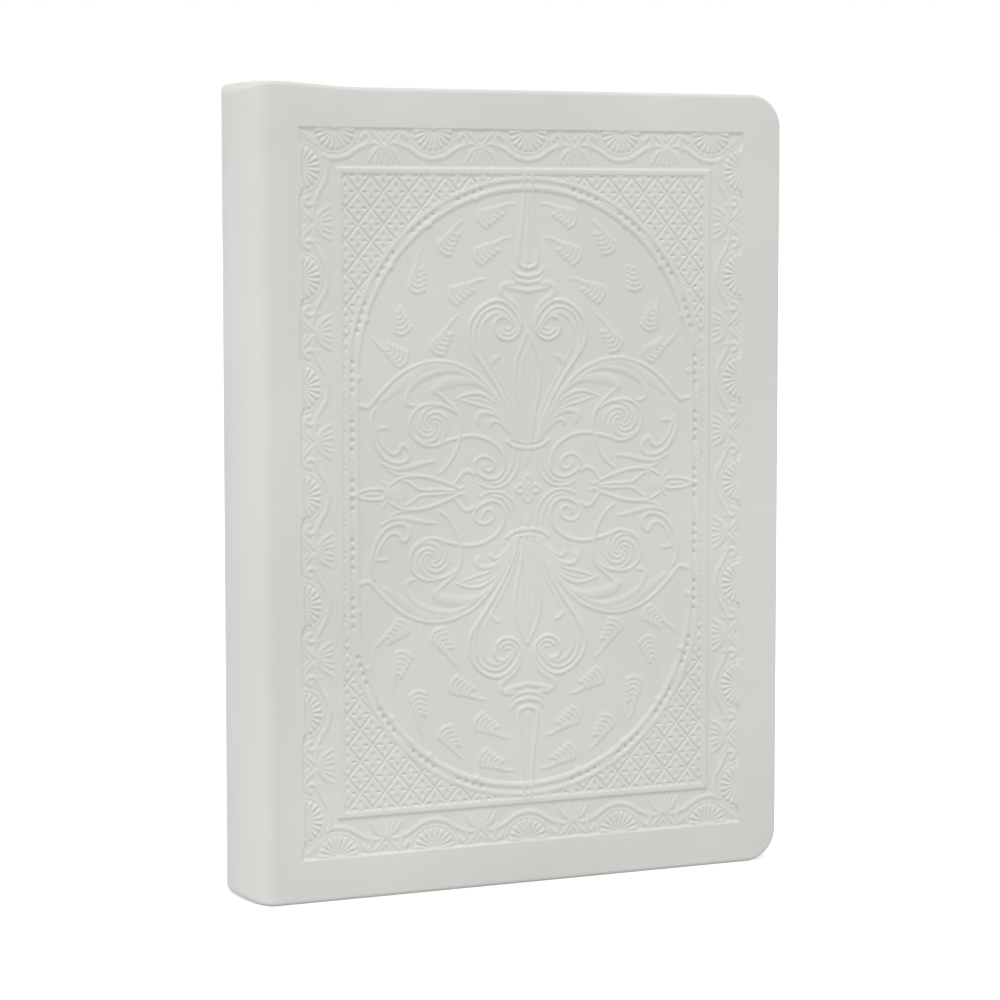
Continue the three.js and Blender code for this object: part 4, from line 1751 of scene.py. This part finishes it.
@dataclass
class TextBlock:
    """Sections of leaves, the single leaves at each end, and the endpapers."""

    sizes: BookSizes
    corner_radius: float = 6.5
    leaves: int = 16
    turning: int = 5
    sections: int = 12
    sheet: float = 0.15
    bend: float = 10.0
    back_round: float = 3.4
    wander: float = 0.03
    sheet_share: float = 0.42  # half of a sheet, as a share of its pitch
    seed: int = 11

    def build(self, pile: GeometryTree, palette: Palette) -> None:
        """Makes all the paper.

        Args:
            pile: The group that piles a section's leaves.
            palette: The finishes.
        """
        for side in Side:
            self.pastedown(side, palette)
            self.single(side, "flyleaf", palette.endpaper, "endpaper")
            self.single(side, "leaf_1", palette.text_paper, "text_paper")
            self.single(side, "leaf_2", palette.text_paper, "text_paper")
        for number in range(1, self.sections + 1):
            self.section(number, pile, palette)

    def pastedown(self, side: Side, palette: Palette) -> None:
        """The paper glued inside a cover, which runs on over the joint to the gutter.

        Args:
            side: Which cover.
            palette: The finishes.
        """
        sizes, node = self.sizes, f"{side.label}_pastedown"
        low, high = (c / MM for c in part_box(node))
        sheet = Sheet(
            sizes.hinge - 1.2, sizes.hinge - 1.0, sizes.hinge + 4.5, high[0],
            low[2], high[2], self.corner_radius,
        )
        piece = make_object(f"{side.label}_pasted_paper", *sheet.solid(low[1], high[1]))
        dress(piece, palette.endpaper, "endpaper")
        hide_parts(node)
        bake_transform(piece)
        log.info("%s", piece.name)

    def single(
        self, side: Side, leaf: str, paper: bpy.types.Material, slot: str
    ) -> None:
        """One single leaf, cut fine where it leaves the gutter.

        Args:
            side: Which end of the block.
            leaf: The leaf's name in the frame.
            paper: Its material.
            slot: Its material slot.
        """
        sizes, node = self.sizes, f"{side.label}_{leaf}"
        low, high = (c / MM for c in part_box(node))
        sheet = Sheet(
            sizes.hinge + 0.3, sizes.gutter, sizes.gutter + self.bend, high[0],
            low[2], high[2], self.corner_radius,
        )
        piece = make_object(f"{node}_sheet", *sheet.solid(low[1], high[1]))
        dress(piece, paper, slot)
        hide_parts(node)
        if leaf == "flyleaf":
            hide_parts(f"{side.label}_endpaper_fold")
        self.turn(piece, f"{node}_turning")
        log.info("%s", piece.name)

    def turn(self, piece: bpy.types.Object, body: str) -> None:
        """Bakes a piece of paper's placement into its mesh.

        Args:
            piece: The object.
            body: Not used.
        """
        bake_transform(piece)

    def section(self, number: int, pile: GeometryTree, palette: Palette) -> None:
        """One section: its pile of leaves and its folded back.

        Args:
            number: The section's number from the front.
            pile: The group that piles its leaves.
            palette: The finishes.
        """
        sizes, label = self.sizes, f"section_{number:02d}"
        turns = number <= self.turning or number > self.sections - self.turning
        body = f"{label}_turning" if turns else "spine"
        nodes = (f"{label}_leaves", f"{label}_fold") if turns else (label,)
        low, high = (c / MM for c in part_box(nodes[0]))
        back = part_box(nodes[-1])[0][0] / MM
        half = (high[1] - low[1]) / 2
        middle = (high[1] + low[1]) / 2
        reach = sizes.block + self.sheet
        pitch = 2 * half / self.leaves
        sheet = Sheet(
            back + half * 0.75, sizes.gutter, sizes.gutter + self.bend, high[0],
            low[2], high[2], self.corner_radius,
        )
        offset = self.back_round * math.sqrt(1 - (middle / reach) ** 2)
        points, groups = sheet.solid(-self.sheet_share * pitch, self.sheet_share * pitch)
        points[:, 0] += offset
        piece = make_object(f"{label}_pile", points, groups)
        pile.apply(
            piece, Pitch=pitch * MM, First=(low[1] + pitch / 2) * MM,
            Round=self.back_round * MM, Half=reach * MM, Wander=self.wander * MM,
            Leaves=self.leaves, Seed=self.seed + number, Finish=palette.text_paper,
        )
        piece.data.set_sharp_from_angle(angle=math.radians(35))
        dress(piece, palette.text_paper, "text_paper")
        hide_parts(*nodes)
        if turns:
            self.turn(piece, body)
        else:
            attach(piece, body)
        self.folded_back(label, back, middle, half, low[2], high[2], palette)
        log.info("%s: %d leaves", label, self.leaves)

    def folded_back(
        self, label: str, back: float, middle: float, half: float, low: float, high: float,
        palette: Palette,
    ) -> None:
        """The nested folds of a section's sheets.

        Args:
            label: The section's name.
            back: The outermost fold's position.
            middle: The section's middle across the book.
            half: Half the section's thickness.
            low: The sheets' tail.
            high: The sheets' head.
            palette: The finishes.
        """
        sheets = self.leaves // 2
        pitch = half / sheets
        turns = np.linspace(-math.pi / 2, math.pi / 2, 13)
        points, groups, count = [], [], 0
        for k in range(sheets):
            inner, outer = (k + 0.06) * pitch, (k + 0.94) * pitch
            sections = []
            for turn in turns:
                ring = [
                    (back + half - r * math.cos(turn), middle + r * math.sin(turn), z)
                    for r, z in ((inner, low), (outer, low), (outer, high), (inner, high))
                ]
                sections.append(ring)
            made, faces = sweep(np.array(sections))
            points.append(made)
            groups += [g + count for g in faces]
            count += len(made)
        piece = make_object(f"{label}_folds", np.vstack(points), groups)
        dress(piece, palette.text_paper, "text_paper")
        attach(piece, "spine")


# ---------------------------------------------------------------- the back of the block


@dataclass
class BackFurniture:
    """Head and tail bands, and the carried-over pieces that only need their finish."""

    core: float = 0.72
    thread: float = 0.14
    pitch: float = 0.3

    def build(self, winding: GeometryTree, palette: Palette) -> None:
        """Makes the bands and dresses the rest.

        Args:
            winding: The group that winds thread round a core.
            palette: The finishes.
        """
        for node in ("head_band", "tail_band"):
            self.band(node, winding, palette)
        finishes = {
            "board": palette.board,
            "inlay": palette.board,
            "lining": palette.board,
            "infill": palette.endpaper,
            "mull": palette.cloth,
            "thread": palette.linen,
        }
        for name, node in frame["nodes"].items():
            for word, material in finishes.items():
                if word in name:
                    for slot in node.material_slots:
                        slot.material = material
                    log.info("%s keeps its shape", name)

    def band(self, node: str, winding: GeometryTree, palette: Palette) -> None:
        """One band: a core wound with silk, following the block's rounded back.

        Args:
            node: The frame's node.
            winding: The group that winds thread round a core.
            palette: The finishes.
        """
        low, high = (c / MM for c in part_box(node))
        radius = (high[2] - low[2]) / 2
        middle, half = (low[2] + high[2]) / 2, high[1] - radius * 0.5
        bulge = high[0] - low[0] - 2 * radius
        limit = math.radians(68)
        path = []
        for turn in np.linspace(-limit, limit, 41):
            share = (math.cos(turn) - math.cos(limit)) / (1 - math.cos(limit))
            x = high[0] - radius - bulge * share
            path.append((x, half * math.sin(turn) / math.sin(limit), middle))
        mesh = bpy.data.meshes.new(node)
        mesh.from_pydata(
            (np.array(path) * MM).tolist(), [(k, k + 1) for k in range(len(path) - 1)], []
        )
        piece = bpy.data.objects.new(f"{node}_silk", mesh)
        bpy.context.scene.collection.objects.link(piece)
        winding.apply(
            piece, Core=self.core * MM, Thread=self.thread * MM, Pitch=self.pitch * MM,
            Finish=palette.silk,
        )
        dress(piece, palette.silk, "silk")
        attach(piece, "spine")
        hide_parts(node)
        log.info("%s: %d faces", piece.name, len(piece.data.polygons))


# ---------------------------------------------------------------- studio


@dataclass
class Studio:
    """Pale floor, soft light and the camera."""

    camera_place: tuple[float, float, float] = (-364.9, -774.7, 175.6)
    camera_yaw: float = 25.189
    camera_tilt: float = 4.953
    lens: float = 115.3
    floor_half: float = 40000.0
    floor_lift: float = 0.60
    surround: float = 0.565

    def build(self) -> None:
        """Sets the floor, the lights and the camera."""
        self.floor()
        self.world()
        self.sun("key", (-0.14, -0.50, 0.85), 1.38, 34, (1.0, 0.995, 0.985))
        self.sun("side", (-0.90, 0.38, 0.20), 0.84, 50, (0.95, 0.955, 1.0))
        self.camera()
        bpy.context.scene.view_settings.view_transform = "Standard"

    def floor(self) -> None:
        """A wide pale floor that fades into the surround."""
        half = self.floor_half
        corners = np.array([(-half, -half, 0), (half, -half, 0), (half, half, 0), (-half, half, 0)])
        mesh = build_mesh("floor", corners, np.array([[0, 1, 2, 3]]))
        made = bpy.data.objects.new("floor", mesh)
        bpy.context.scene.collection.objects.link(made)
        material, shader, surface = new_material("floor")
        surface.inputs["Base Color"].default_value = (0.62, 0.62, 0.62, 1)
        surface.inputs["Roughness"].default_value = 0.9
        surface.inputs["Specular IOR Level"].default_value = 0.1
        surface.inputs["Emission Color"].default_value = (1, 1, 1, 1)
        path = shader.node("LightPath")
        lift = shader.math("MULTIPLY", path.outputs["Is Camera Ray"], self.floor_lift)
        shader.link(lift, surface.inputs["Emission Strength"])
        mesh.materials.append(material)

    def world(self) -> None:
        """An even pale surround, white where the camera looks straight at it."""
        world = bpy.data.worlds.new("studio")
        bpy.context.scene.world = world
        world.use_nodes = True
        tree = world.node_tree
        glow = tree.nodes["Background"]
        glow.inputs["Color"].default_value = (1, 1, 1, 1)
        glow.inputs["Strength"].default_value = self.surround
        seen = tree.nodes.new("ShaderNodeBackground")
        seen.inputs["Color"].default_value = (1, 1, 1, 1)
        path = tree.nodes.new("ShaderNodeLightPath")
        mix = tree.nodes.new("ShaderNodeMixShader")
        tree.links.new(path.outputs["Is Camera Ray"], mix.inputs[0])
        tree.links.new(glow.outputs[0], mix.inputs[1])
        tree.links.new(seen.outputs[0], mix.inputs[2])
        tree.links.new(mix.outputs[0], tree.nodes["World Output"].inputs["Surface"])

    def sun(
        self, name: str, towards: tuple[float, float, float], power: float, angle: float,
        colour: tuple[float, float, float],
    ) -> None:
        """A soft light from far away.

        Args:
            name: The light's name.
            towards: The direction from the book to the light.
            power: Its power in watts for each square metre.
            angle: How wide it looks from the book, in degrees.
            colour: Its colour.
        """
        data = bpy.data.lights.new(name, "SUN")
        data.energy = power
        data.angle = math.radians(angle)
        data.color = colour
        made = bpy.data.objects.new(name, data)
        bpy.context.scene.collection.objects.link(made)
        made.rotation_euler = Vector(towards).to_track_quat("Z", "Y").to_euler()

    def camera(self) -> None:
        """The camera, a little above the book's middle and turned to the spine side."""
        data = bpy.data.cameras.new("camera")
        data.lens = self.lens
        data.sensor_width = 36.0
        data.clip_end = 100.0
        made = bpy.data.objects.new("camera", data)
        bpy.context.scene.collection.objects.link(made)
        made.location = np.array(self.camera_place) * MM
        made.rotation_euler = (
            math.radians(90 - self.camera_tilt), 0, math.radians(-self.camera_yaw)
        )
        bpy.context.scene.camera = made


def main() -> None:
    """Builds the book piece by piece and notes its size."""
    logging.basicConfig(level=logging.INFO, format="%(name)s: %(message)s")
    sizes = BookSizes.from_frame()
    log.info("sizes %s", sizes)
    palette = Palette.make()
    relief = PressedPanel().draw()
    log.info("relief %s from %.2f to %.2f mm", relief.shape, relief.min(), relief.max())
    press = press_tree()
    CoverSkin(Side.FRONT, sizes, relief, stride=2, bands=5).build(press, palette)
    CoverSkin(Side.BACK, sizes, relief, stride=3, bands=3).build(press, palette)
    SpineSkin(sizes).build(palette)
    TextBlock(sizes).build(leaf_pile_tree(), palette)
    BackFurniture().build(wrapped_core_tree(), palette)
    Studio().build()


if __name__ == "__main__":
    main()
